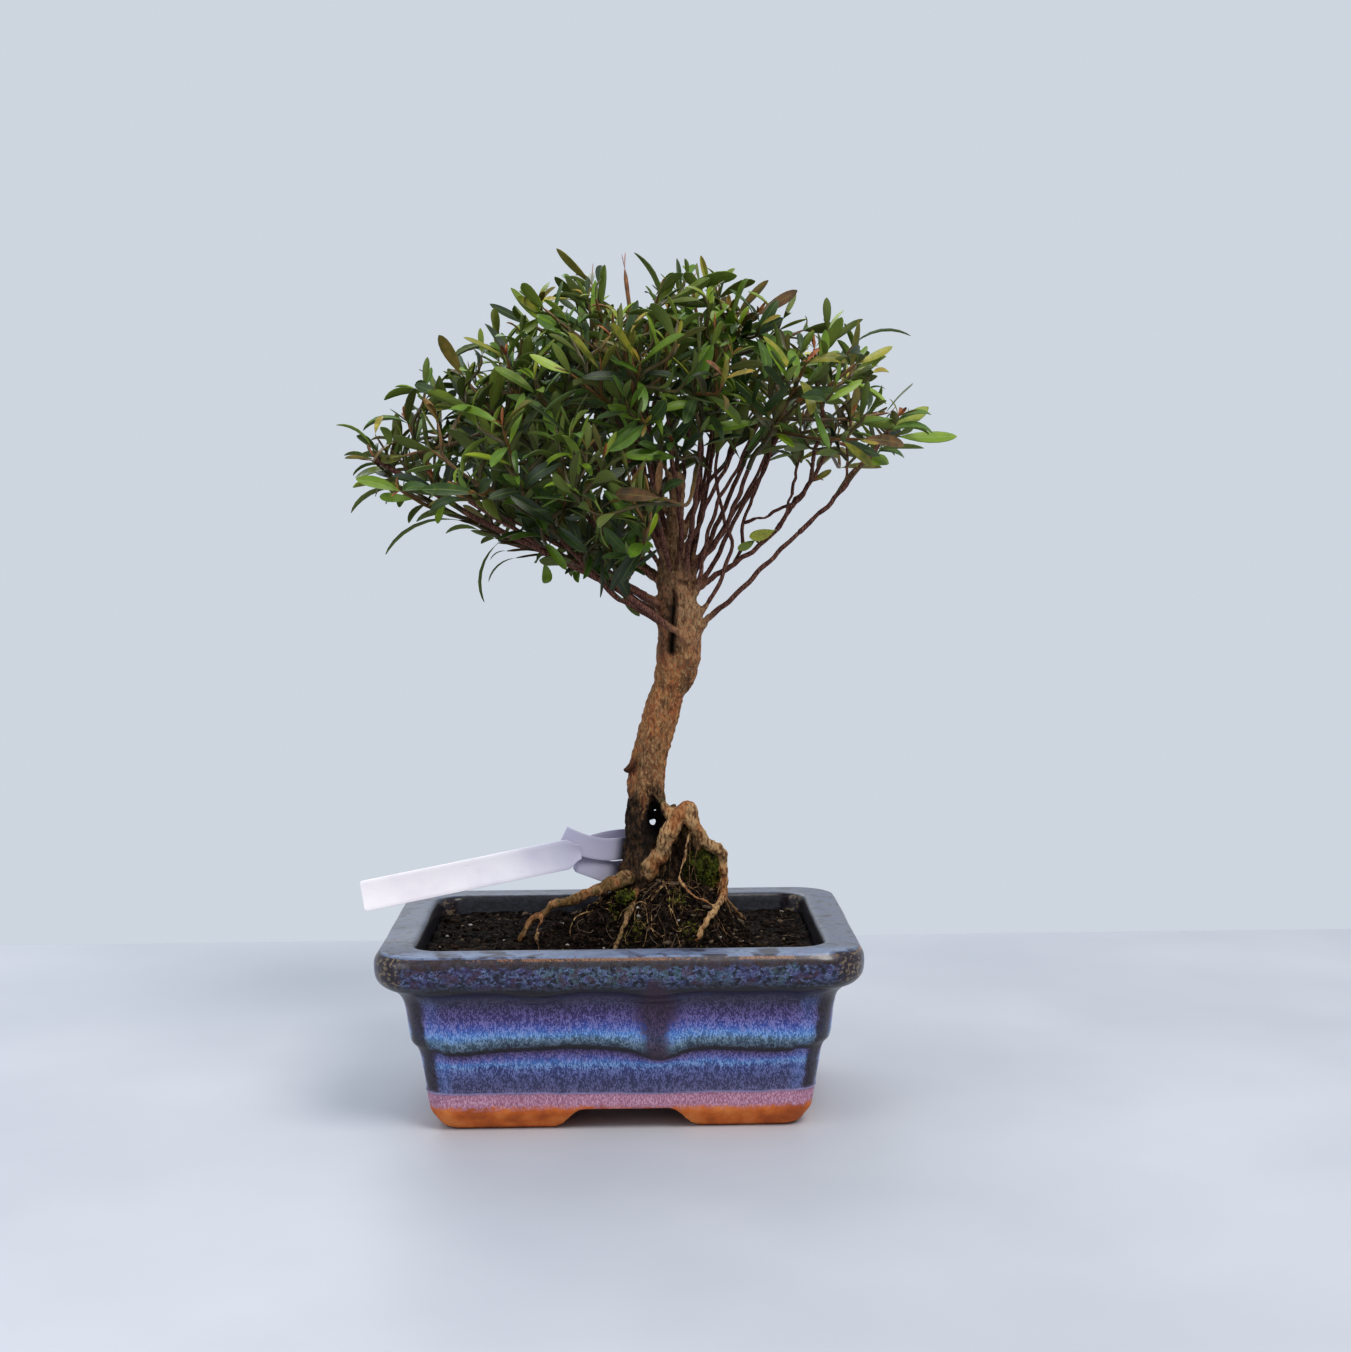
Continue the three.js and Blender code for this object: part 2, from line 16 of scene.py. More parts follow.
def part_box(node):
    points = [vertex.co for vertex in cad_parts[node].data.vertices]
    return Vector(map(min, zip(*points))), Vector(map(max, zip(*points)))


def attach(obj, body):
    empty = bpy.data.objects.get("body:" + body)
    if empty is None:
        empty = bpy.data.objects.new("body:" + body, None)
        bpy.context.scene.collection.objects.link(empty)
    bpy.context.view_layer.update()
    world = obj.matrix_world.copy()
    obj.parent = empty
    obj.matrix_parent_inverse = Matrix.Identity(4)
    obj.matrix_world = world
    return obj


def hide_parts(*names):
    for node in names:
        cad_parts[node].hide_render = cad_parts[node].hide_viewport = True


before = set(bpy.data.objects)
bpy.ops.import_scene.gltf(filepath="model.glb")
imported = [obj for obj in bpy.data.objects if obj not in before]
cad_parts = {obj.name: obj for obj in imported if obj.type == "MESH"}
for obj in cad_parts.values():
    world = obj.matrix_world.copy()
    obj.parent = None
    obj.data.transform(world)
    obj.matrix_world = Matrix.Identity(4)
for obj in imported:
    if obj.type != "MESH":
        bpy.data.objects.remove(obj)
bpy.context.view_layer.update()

MM = 0.001
pot_low, pot_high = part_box("pot")
POT_CENTRE = Vector(((pot_low.x + pot_high.x) / 2, (pot_low.y + pot_high.y) / 2, pot_low.z))
TO_ROW = Matrix.Translation(POT_CENTRE) @ Matrix.Scale(MM, 4)

# Dimensions shared with the part's source
POT_LENGTH, POT_DEPTH, POT_HEIGHT = 200, 150, 77.3
RIM_WIDTH, RIM_CORNER = 16, 20
FLOOR_UNDERSIDE, FLOOR_TOP = 10, 16
ARCH_HEIGHT, ARCH_CENTRE_X = 9.3, 2
DRAIN_HOLE_RADIUS, DRAIN_HOLE_X = 8, 38
SOIL_LEVEL = 69.5
TREE_HEIGHT = 364
CANOPY_CENTRE = np.array([11.0, 0.0, 266.0])
CANOPY_REACH = {"left": 127, "right": 130, "front": 100, "back": 100, "up": 101, "down": 46}
LEAF_LENGTH, LEAF_WIDTH = 22, 6.4
FILL_SHOOTS = 262
LEADER_X, LEADER_TOP = 27, 274
# Start, tip, width, turn toward the front in degrees, tone and painted shade
HANGING_LEAVES = [
    ((-66, -17, 251.3), (-95.6, -17, 236.7), 1.8, 0, 0.15),
    ((-49.7, -17, 241.6), (-58.8, -17, 218.5), 2.4, 10, 0.3),
    ((-42.1, -17, 235.3), (-53.1, -17, 225.2), 2.0, 5, 0.15),
    ((-30.5, -17, 233.7), (-28.8, -17, 222.6), 4.4, 80, 0.55),
    ((-50.7, -17, 243.5), (-57.5, -17, 241.6), 2.4, 60, 0.1),
    ((-45.9, -17, 238.2), (-52.7, -17, 234.4), 1.8, 10, 0.1),
    ((-57.4, -17, 246.9), (-71.8, -17, 246.6), 3.0, 40, 0.3),
    ((-65.9, -17, 253.3), (-84.2, -17, 251.5), 3.6, 45, 0.25),
    ((-79.3, -17, 258.2), (-87.6, -17, 250.1), 3.2, 50, 0.1),
    ((-86.4, -17, 262.5), (-91.8, -17, 256.8), 3.6, 60, 0.5),
    ((-89.8, -17, 265.4), (-110.5, -17, 254.4), 3.0, 35, 0.2),
    ((-87.8, -17, 264.9), (-111, -17, 266.4), 3.4, 60, 0.8),
    ((112.6, -22, 286.3), (135.4, -22, 288.1), 4.0, 45, 0.4),
    ((116.7, -22, 290.1), (133, -22, 296.6), 3.5, 40, 0.4),
    ((108.8, -22, 278.3), (122.1, -22, 276.3), 4.0, 40, 0.3),
    ((100.5, -21, 272.4), (118.2, -21, 275.4), 5.0, 75, 0.6),
    ((99.4, -17, 322.7), (123, -17, 331.1), 3.0, 15, 0.2),
    ((105, -17, 303.9), (113.4, -17, 306), 2.6, 20, 0.2),
    ((107.2, -17, 311), (116, -17, 312.9), 3.0, 50, 0.9),
    ((-79.2, -14, 304.4), (-97.2, -14, 301.7), 4.0, 50, 0.35),
    ((-78.3, -14, 306.4), (-83.1, -14, 309.7), 3.0, 60, 0.2),
    ((-100.3, -17, 287.1), (-98.3, -17, 296.8), 2.6, 80, 0.9),
    ((-101.6, -17, 281.4), (-111.9, -17, 295.4), 2.6, 30, 0.6),
    ((-94.2, -17, 281.4), (-95.1, -17, 292), 4.0, 70, 0.4),
    ((-102.2, -17, 276.6), (-113, -17, 280), 2.6, 40, 0.3),
]
FIT_GAP = 0.3
UP = np.array([0.0, 0.0, 1.0])
# The kinks of the roots, limbs and stems follow the noise module's seed, which else comes from the clock
NOISE_SEED = 1796034592
noise.seed_set(NOISE_SEED)


# Small tools
def unit(v):
    return v / np.linalg.norm(v)


def smoothstep(low, high, value):
    t = min(1.0, max(0.0, (value - low) / (high - low)))
    return t * t * (3 - 2 * t)


def bump(distance, width):
    return math.exp(-((distance / width) ** 2))


def turned(v, axis, angle):
    c, s = math.cos(angle), math.sin(angle)
    return v * c + np.cross(axis, v) * s + axis * np.dot(axis, v) * (1 - c)


def draws_from(seed):
    """The same row of random numbers as the part's source draws."""
    state = [seed]

    def draw():
        state[0] = (state[0] + 0x6D2B79F5) & 0xFFFFFFFF
        s = state[0]
        t = ((s ^ (s >> 15)) * (1 | s)) & 0xFFFFFFFF
        t = ((t + (((t ^ (t >> 7)) * (61 | t)) & 0xFFFFFFFF)) & 0xFFFFFFFF) ^ t
        return ((t ^ (t >> 14)) & 0xFFFFFFFF) / 4294967296

    return draw


class Path:
    """A smooth curve through points, read by the share of its length."""

    def __init__(self, *points):
        p = np.array(points, float)
        ends = np.vstack([2 * p[0] - p[1], p, 2 * p[-1] - p[-2]])
        p0, p1, p2, p3 = ends[:-3], ends[1:-2], ends[2:-1], ends[3:]
        steps = ((p0, p1), (p1, p2), (p2, p3))
        d0, d1, d2 = (np.maximum(((b - a) ** 2).sum(1) ** 0.25, 1e-4)[:, None] for a, b in steps)
        t1 = ((p1 - p0) / d0 - (p2 - p0) / (d0 + d1) + (p2 - p1) / d1) * d1
        t2 = ((p2 - p1) / d1 - (p3 - p1) / (d1 + d2) + (p3 - p2) / d2) * d1
        self.cubic = (p1, t1, -3 * p1 + 3 * p2 - 2 * t1 - t2, 2 * p1 - 2 * p2 + t1 + t2)
        self.shares = np.linspace(0, 1, 201)
        track = self.spot(self.shares)
        self.lengths = np.concatenate([[0], np.cumsum(np.linalg.norm(np.diff(track, axis=0), axis=1))])
        self.length = self.lengths[-1]

    def spot(self, t):
        c0, c1, c2, c3 = self.cubic
        along = np.clip(t, 0, 1) * len(c0)
        i = np.minimum(along.astype(int), len(c0) - 1)
        w = (along - i)[:, None]
        return c0[i] + c1[i] * w + c2[i] * w**2 + c3[i] * w**3

    def share(self, along):
        return np.interp(np.atleast_1d(along) * self.length, self.lengths, self.shares)

    def points(self, along):
        return self.spot(self.share(along))

    def point(self, along):
        return self.points(along)[0]

    def tangents(self, along):
        t = self.share(along)
        step = self.spot(np.minimum(t + 1e-4, 1)) - self.spot(np.maximum(t - 1e-4, 0))
        return step / np.linalg.norm(step, axis=1)[:, None]

    def tangent(self, along):
        return self.tangents(along)[0]


# Mesh tools
def new_bmesh(*layers):
    bm = bmesh.new()
    for name in layers:
        bm.verts.layers.float.new(name)
    return bm


def mesh_of(name, bm):
    """The mesh of a finished bmesh, which is given up."""
    mesh = bpy.data.meshes.new(name)
    bm.to_mesh(mesh)
    bm.free()
    return mesh


def added(bm, mesh):
    """The vertices that a mesh brings into a bmesh."""
    before = len(bm.verts)
    bm.from_mesh(mesh)
    bm.verts.ensure_lookup_table()
    return bm.verts[before:]


def put_in_scene(name, data):
    made = bpy.data.objects.new(name, data)
    bpy.context.scene.collection.objects.link(made)
    return made


def tube(bm, path, radius_at, sides, steps, material=0, marks=None):
    """Round wood: a grid rolled up along a path. radius_at(along, angle, point) gives its radius."""
    along = np.linspace(0, 1, steps + 1)
    points, tangents = path.points(along), path.tangents(along)
    side = unit(np.cross(tangents[0], [0.31, 0.9, 0.29]))
    frames = []
    for t in tangents:
        side = unit(side - t * np.dot(side, t))
        frames.append((side, np.cross(t, side)))
    made = bmesh.ops.create_grid(bm, x_segments=sides, y_segments=steps, size=0.5)["verts"]
    layers = {name: bm.verts.layers.float.get(name) for name in marks or {}}
    for v in made:
        angle = (v.co.x + 0.5) * 2 * math.pi
        j = round((v.co.y + 0.5) * steps)
        radius = radius_at(along[j], angle, points[j])
        p = points[j] + radius * (math.cos(angle) * frames[j][0] + math.sin(angle) * frames[j][1])
        v.co = p
        for name, value in (marks or {}).items():
            v[layers[name]] = value(along[j]) if callable(value) else value
    faces = {f for v in made for f in v.link_faces}
    bmesh.ops.remove_doubles(bm, verts=made, dist=5e-4)
    rims = [e for f in faces if f.is_valid for e in f.edges if len(e.link_faces) == 1]
    caps = bmesh.ops.holes_fill(bm, edges=list(set(rims)), sides=sides)["faces"]
    faces = [f for f in faces if f.is_valid] + caps
    bmesh.ops.recalc_face_normals(bm, faces=faces)
    for f in faces:
        f.material_index = material
        f.smooth = True


def taper(first, last):
    return lambda along, angle, point: first + (last - first) * along


def place_piece(name, bm, materials, replaced=(), sharp_degrees=None):
    """Puts a finished bmesh into the row frame as a piece of the object."""
    bmesh.ops.transform(bm, matrix=TO_ROW, verts=bm.verts)
    mesh = mesh_of(name, bm)
    return place_mesh(name, mesh, materials, replaced, sharp_degrees)


def place_mesh(name, mesh, materials, replaced=(), sharp_degrees=None):
    mesh.name = name
    mesh.materials.clear()
    for material in materials:
        mesh.materials.append(material)
    mesh.shade_smooth()
    if sharp_degrees:
        mesh.set_sharp_from_angle(angle=math.radians(sharp_degrees))
    piece = put_in_scene(name, mesh)
    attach(piece, "root")
    if replaced:
        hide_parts(*replaced)
    return piece


def with_modifiers(bm, *modifiers):
    """The mesh of a bmesh after modifiers, each given as (kind, settings)."""
    mesh = mesh_of("work", bm)
    worked = put_in_scene("work", mesh)
    for kind, settings in modifiers:
        modifier = worked.modifiers.new(kind.lower(), kind)
        for key, value in settings.items():
            setattr(modifier, key, value)
    shown = worked.evaluated_get(bpy.context.evaluated_depsgraph_get())
    result = bpy.data.meshes.new_from_object(shown)
    bpy.data.objects.remove(worked)
    return result


# Shader tools
def srgb(red, green, blue):
    """A colour given from 0 to 255 as the eye sees it."""
    values = (red, green, blue)
    return tuple(((c / 255 + 0.055) / 1.055) ** 2.4 if c > 10 else c / 3295 for c in values) + (1,)


class Value:
    """A shader socket that can be used in plain arithmetic."""

    def __init__(self, socket):
        self.socket = socket

    def worked(self, operation, *values):
        inputs = dict(enumerate(values))
        return Value(add(self.socket.id_data, "ShaderNodeMath", inputs, operation=operation).outputs[0])

    def __add__(self, other):
        return self.worked("ADD", self, other)

    def __sub__(self, other):
        return self.worked("SUBTRACT", self, other)

    def __rsub__(self, other):
        return self.worked("SUBTRACT", other, self)

    def __mul__(self, other):
        return self.worked("MULTIPLY", self, other)

    def __truediv__(self, other):
        return self.worked("DIVIDE", self, other)

    __radd__, __rmul__ = __add__, __mul__

    def rise(self, low, high):
        """0 under low, 1 over high, smooth between."""
        inputs = {"Value": self, "From Min": low, "From Max": high}
        node = add(self.socket.id_data, "ShaderNodeMapRange", inputs)
        node.interpolation_type = "SMOOTHSTEP"
        return Value(node.outputs["Result"])

    def fall(self, low, high):
        return 1 - self.rise(low, high)


def add(tree, kind, inputs=None, **settings):
    node = tree.nodes.new(kind)
    for name, value in settings.items():
        setattr(node, name, value)
    for name, value in (inputs or {}).items():
        put(value, node.inputs[name])
    return node


def put(value, socket):
    """Gives a socket its value: one that is worked out, a colour from 0 to 255, or plain numbers."""
    if isinstance(value, Value):
        socket.id_data.links.new(value.socket, socket)
    elif isinstance(value, tuple) and socket.type == "RGBA":
        socket.default_value = srgb(*value)
    else:
        socket.default_value = value


def ramp(value, stops, interpolation="LINEAR"):
    """A colour that goes by the value. A stop is a value and a colour from 0 to 255."""
    node = add(value.socket.id_data, "ShaderNodeValToRGB", {"Fac": value})
    node.color_ramp.interpolation = interpolation
    elements = node.color_ramp.elements
    while len(elements) < len(stops):
        elements.new(0.5)
    for element, (position, colour) in zip(elements, stops):
        element.position = position
    for element, (position, colour) in zip(elements, stops):
        element.color = srgb(*colour)
    return Value(node.outputs["Color"])


def blend(share, first, second, mode="MIX"):
    node = add(share.socket.id_data, "ShaderNodeMix", data_type="RGBA", blend_type=mode)
    sockets = {s.identifier: s for s in node.inputs}
    for name, value in (("Factor_Float", share), ("A_Color", first), ("B_Color", second)):
        put(value, sockets[name])
    return Value(next(s for s in node.outputs if s.identifier == "Result_Color"))


def attribute(place, name):
    return Value(add(place.socket.id_data, "ShaderNodeAttribute", attribute_name=name).outputs["Fac"])


def object_place(shader):
    return Value(add(shader.id_data, "ShaderNodeTexCoord").outputs["Object"])


def pot_millimetres(shader):
    """Object coordinates in millimetres from the centre of the pot's footprint."""
    node = add(shader.id_data, "ShaderNodeMapping", {"Vector": object_place(shader)})
    node.inputs["Scale"].default_value = (1 / MM,) * 3
    node.inputs["Location"].default_value = -POT_CENTRE / MM
    return Value(node.outputs["Vector"])


def parts_of(vector):
    """The three parts of a vector as values."""
    outputs = add(vector.socket.id_data, "ShaderNodeSeparateXYZ", {"Vector": vector}).outputs
    return [Value(outputs[axis]) for axis in "XYZ"]


def build_streak_group():
    """Noise drawn out along one axis: grain, glaze streaks, fibres. Out comes a mask about 0.5."""
    group = bpy.data.node_groups.new("drawn_out_noise", "ShaderNodeTree")
    face = group.interface
    face.new_socket("Vector", in_out="INPUT", socket_type="NodeSocketVector")
    for name, value in (("Scale", 1.0), ("Across", 1.0), ("Along", 0.25), ("Detail", 3.0), ("Warp", 0.0)):
        face.new_socket(name, in_out="INPUT", socket_type="NodeSocketFloat").default_value = value
    face.new_socket("Mask", in_out="OUTPUT", socket_type="NodeSocketFloat")
    came = {socket.name: Value(socket) for socket in group.nodes.new("NodeGroupInput").outputs if socket.name}
    stretch = add(group, "ShaderNodeCombineXYZ", {0: came["Across"], 1: came["Across"], 2: came["Along"]})
    inputs = {0: came["Vector"], 1: Value(stretch.outputs[0])}
    drawn = Value(add(group, "ShaderNodeVectorMath", inputs, operation="MULTIPLY").outputs[0])
    inputs = {"Vector": drawn, "Scale": came["Scale"], "Detail": came["Detail"], "Distortion": came["Warp"]}
    texture = add(group, "ShaderNodeTexNoise", inputs)
    put(Value(texture.outputs["Fac"]), group.nodes.new("NodeGroupOutput").inputs["Mask"])
    return group


STREAKS = build_streak_group()


def streaks(place, scale, across=1.0, along=1.0, detail=3.0, warp=0.0):
    inputs = {
        "Vector": place, "Scale": scale, "Across": across, "Along": along, "Detail": detail, "Warp": warp,
    }
    node = add(place.socket.id_data, "ShaderNodeGroup", node_tree=STREAKS)
    for name, value in inputs.items():
        put(value, node.inputs[name])
    return Value(node.outputs["Mask"])


def new_material(name, **settings):
    """A material and its shader; uniform values are set on the shader's own sockets."""
    material = bpy.data.materials.new(name)
    material.use_nodes = True
    shader = material.node_tree.nodes["Principled BSDF"]
    for key, value in settings.items():
        shader.inputs[key.replace("_", " ").title().replace("Ior", "IOR")].default_value = value
    return material, shader


def finish_surface(shader, colour, roughness=None, height=None, strength=0.4, depth=0.3):
    put(colour, shader.inputs["Base Color"])
    if roughness is not None:
        put(roughness, shader.inputs["Roughness"])
    if height is not None:
        inputs = {"Height": height, "Strength": strength, "Distance": depth * MM}
        put(Value(add(shader.id_data, "ShaderNodeBump", inputs).outputs["Normal"]), shader.inputs["Normal"])


# Materials
# Colours of the glaze by height: the deep ground and the pale strokes that stand on it; the near-black rows
# at 36 and 63 are painted shade under the ledge and under the lip
GLAZE_LEVELS = [
    (15, (70, 68, 98), (128, 124, 162)),
    (22, (58, 60, 98), (112, 114, 160)),
    (27, (60, 72, 126), (128, 140, 196)),
    (29.5, (78, 122, 190), (154, 190, 232)),
    (31.3, (70, 82, 154), (150, 156, 218)),
    (33.8, (66, 46, 90), (140, 124, 182)),
    (36, (26, 22, 40), (60, 58, 88)),
    (37.6, (56, 74, 90), (106, 128, 144)),
    (40, (80, 108, 130), (138, 160, 178)),
    (42.4, (84, 134, 206), (158, 198, 242)),
    (45, (66, 88, 172), (152, 166, 230)),
    (48.5, (70, 60, 124), (150, 142, 206)),
    (52.5, (60, 46, 92), (128, 116, 176)),
    (56.5, (46, 44, 72), (102, 100, 136)),
    (60.5, (38, 38, 58), (88, 90, 114)),
    (63, (15, 15, 24), (48, 48, 66)),
]
GLAZE_TOP = 80
# Heights of the painted shadow lines under the ledge and under the lip
PAINTED_SHADOW_LINES = [(35.2, 36.5), (62.2, 63.6)]


def make_glaze():
    material, shader = new_material("running_glaze", specular_ior_level=0.45, coat_roughness=0.1)
    place = pot_millimetres(shader)
    y, z = parts_of(place)[1:]
    sag = attribute(place, "glaze_sag")
    drift = streaks(place, 0.045, detail=2)
    strokes = streaks(place, 1.9, 1, 0.42, detail=3, warp=0.7)
    broad = streaks(place, 0.55, 1, 0.4, detail=3, warp=0.5)
    grain = streaks(place, 2.6, 1, 0.5, detail=2, warp=0.5)
    blotch = streaks(place, 0.2, 1, 1.2, detail=5, warp=0.5)
    mottle = streaks(place, 0.5, 0.9, 1.3, detail=6, warp=0.4)
    level = (z + 4 * (drift - 0.5) + 3.5 * (strokes - 0.5) + 4.5 * (broad - 0.5) + sag) / GLAZE_TOP
    ground = ramp(level, [(height / GLAZE_TOP, deep) for height, deep, pale in GLAZE_LEVELS])
    stroke = ramp(level, [(height / GLAZE_TOP, pale) for height, deep, pale in GLAZE_LEVELS])
    covered = strokes + 0.5 * (broad - 0.5)
    speckled = blend(0.85 * covered.rise(0.45, 0.58), ground, stroke)
    speckled = blend(0.6 * grain.rise(0.54, 0.64), speckled, (42, 28, 66))
    # The lip: fine turquoise, white, violet and maroon mottling on near black
    lip = ramp(mottle, [
        (0.36, (16, 14, 24)), (0.43, (34, 34, 54)), (0.48, (58, 66, 96)), (0.52, (84, 98, 136)),
        (0.57, (118, 136, 164)), (0.62, (94, 88, 146)), (0.68, (60, 50, 92)),
    ])
    clouds = streaks(place, 0.035, 1, 1.6, detail=3, warp=0.5)
    tinted = ramp(clouds, [
        (0.36, (26, 24, 34)), (0.44, (74, 62, 112)), (0.52, (58, 66, 118)), (0.58, (70, 106, 118)),
        (0.66, (92, 118, 124)),
    ])
    lip = blend(0.65 * broad.rise(0.44, 0.6), lip, tinted)
    lip = blend(0.6 * blotch.rise(0.52, 0.6), lip, (78, 46, 60))
    lip = blend(0.65 * grain.rise(0.5, 0.6), lip, (18, 15, 24))
    lip_level = z + 7 * (blotch - 0.5) + 6 * (drift - 0.5)
    shaded = ramp(mottle, [(0.4, (18, 20, 26)), (0.6, (54, 62, 70))])
    lip = blend(0.75 * lip_level.fall(64, 67), lip, shaded)
    colour = blend(lip_level.rise(62, 63.5), speckled, lip)
    # Toward the rim's edge the glaze thins to brown and breaks to rust
    thin = 0.8 * (z + 5 * (blotch - 0.5)).rise(72.2, 73.6)
    colour = blend(thin, colour, ramp(grain, [(0.4, (24, 16, 16)), (0.6, (72, 52, 44))]))
    rust = 0.8 * z.rise(75.2, 75.9) * (mottle + (clouds - 0.5)).rise(0.46, 0.56)
    colour = blend(rust, colour, ramp(grain, [(0.4, (98, 54, 36)), (0.6, (166, 120, 82))]))
    # Flat top of the rim, bluer and streaked in front
    top = z.rise(76.3, 76.9)
    flat = ramp(blotch, [(0.34, (70, 73, 84)), (0.5, (104, 107, 120)), (0.66, (88, 98, 124))])
    bluish = ramp(streaks(place, 0.09, detail=5, warp=0.6), [
        (0.38, (36, 36, 52)), (0.44, (78, 88, 118)), (0.52, (122, 138, 168)), (0.66, (104, 116, 146)),
    ])
    flat = blend((-1 * y).rise(58, 68), flat, bluish)
    flat = blend(0.5 * grain.rise(0.56, 0.66), flat, (52, 54, 68))
    colour = blend(top, colour, flat)
    inner = attribute(place, "inside")
    colour = blend(inner, colour, ramp(mottle, [(0.38, (14, 12, 15)), (0.62, (44, 42, 54))]))
    # Down the corners it runs off to black-brown, with a bright edge beside
    side_wall = (1 - top) * z.rise(16, 19)
    corner = attribute(place, "corner") + 0.5 * (blotch - 0.5)
    bright = corner.rise(-0.4, 0.2) * corner.fall(0.3, 0.6) * side_wall * z.fall(55, 60)
    colour = blend(0.4 * bright * strokes, colour, (86, 140, 214), "SCREEN")
    broken = corner.rise(0.42, 0.72) * side_wall
    colour = blend(0.93 * broken, colour, ramp(strokes, [(0.42, (16, 11, 17)), (0.62, (58, 40, 56))]))
    flecks = broken * z.rise(63, 66) * mottle.rise(0.52, 0.58)
    colour = blend(0.7 * flecks, colour, (142, 124, 96))
    # Thin near-black lines of painted shadow under the ledge and under the lip
    crisp = z + sag + 2.4 * (mottle - 0.5)
    for low, high in PAINTED_SHADOW_LINES:
        line = crisp.rise(low - 0.6, low) * crisp.fall(high, high + 0.8)
        colour = blend(0.82 * line, colour, (13, 11, 19))
    trickle = attribute(place, "drip") + 1.6 * (strokes - 0.5) + 1.2 * (broad - 0.5)
    maroon = ramp(strokes, [(0.4, (28, 15, 30)), (0.6, (84, 50, 78))])
    colour = blend(0.85 * trickle.rise(0.2, 0.95), colour, maroon)
    # Below the glaze's edge: a thin pale line, a lilac-pink wash and bare terracotta
    edge_level = z + 3 * (drift - 0.5)
    wash = ramp(strokes, [(0.38, (146, 98, 116)), (0.52, (172, 126, 148)), (0.64, (196, 158, 178))])
    baked = streaks(place, 0.12, detail=5)
    clay = ramp(baked, [(0.34, (166, 84, 36)), (0.5, (198, 106, 42)), (0.66, (214, 130, 66))])
    clay = blend(0.22 * grain.rise(0.54, 0.68), clay, (136, 74, 42))
    low = blend((edge_level + 5 * (mottle - 0.5)).rise(8.6, 11.6), clay, wash)
    glazed = edge_level.rise(15.9, 16.5)
    colour = blend(glazed, low, colour)
    colour = blend(0.6 * glazed * edge_level.fall(16.6, 17.3), colour, (176, 160, 200))
    colour = blend(0.2 * glazed, colour, (0, 0, 0))
    gloss = 0.66 - 0.4 * glazed + 0.16 * top + 0.1 * grain
    put(0.22 * glazed, shader.inputs["Coat Weight"])
    finish_surface(shader, colour, gloss, 0.4 * strokes + 0.6 * mottle, 0.22, 0.2)
    return material


def make_bark():
    material, shader = new_material("fissured_bark", specular_ior_level=0.22)
    place = pot_millimetres(shader)
    z = parts_of(place)[2]
    root = attribute(place, "root")
    plates = streaks(place, 0.75, 1, 0.4, detail=6, warp=0.4)
    patches = streaks(place, 0.11, 1, 0.55, detail=4)
    flecks = streaks(place, 0.95, 1, 0.6, detail=4, warp=0.3)
    fibres = streaks(place, 2.0, 1, 0.2, detail=3)
    colour = ramp(patches, [
        (0.36, (116, 86, 60)), (0.46, (142, 106, 72)), (0.54, (158, 112, 72)), (0.62, (146, 88, 56)),
    ])
    high = (z + 60 * (patches - 0.5)).rise(186, 214)
    colour = blend(0.7 * high, colour, (154, 128, 100))
    colour = blend(0.45 * flecks.rise(0.5, 0.6), colour, (182, 150, 110))
    colour = blend(0.5 * flecks.fall(0.38, 0.47), colour, (146, 80, 52))
    colour = blend(0.6 * plates.fall(0.38, 0.48), colour, (60, 42, 33))
    specks = streaks(place, 1.9, 1, 0.4, detail=3)
    colour = blend(0.4 * specks.fall(0.4, 0.48), colour, (74, 52, 38))
    colour = blend(0.3 * fibres.rise(0.54, 0.66), colour, (92, 66, 50))
    strand = attribute(place, "strand")
    colour = blend(0.8 * strand, colour, ramp(plates, [(0.4, (52, 30, 24)), (0.6, (116, 68, 50))]))
    # Near black low on the trunk: painted shade at its foot, among and under the roots
    lower = z + 34 * (patches - 0.5) + 22 * (flecks - 0.5)
    trunk_foot_shade = lower.fall(122, 140) * (1 - root)
    dark = ramp(plates, [(0.38, (8, 6, 6)), (0.5, (24, 18, 14)), (0.62, (66, 48, 34))])
    colour = blend(0.92 * trunk_foot_shade, colour, dark)
    colour = blend(0.6 * root * plates.rise(0.4, 0.55), colour, (192, 160, 118))
    colour = blend(0.55 * root * patches.rise(0.5, 0.6), colour, (142, 86, 46))
    # Green-brown algae on the roots, more of it on those that lie along the compost
    slime = streaks(place, 0.17, 1, 0.7, detail=4).rise(0.49, 0.58)
    algae = slime * (1.25 - root) * root.rise(0.1, 0.4)
    colour = blend(0.75 * algae, colour, (74, 66, 34))
    slim = ramp(fibres, [(0.38, (72, 46, 42)), (0.52, (106, 72, 62)), (0.68, (138, 102, 84))])
    colour = blend(attribute(place, "twig"), colour, slim)
    # Near black from the hollow mark: painted shade in the foot's hollow, in the shadow below it and in the
    # crack, and the knobs at the spurs, which are dark themselves
    colour = blend(0.95 * attribute(place, "hollow"), colour, (14, 10, 9))
    height = plates + 0.4 * fibres + 0.5 * flecks
    finish_surface(shader, colour, 0.92 - 0.15 * fibres, height, 0.95, 1.0)
    return material


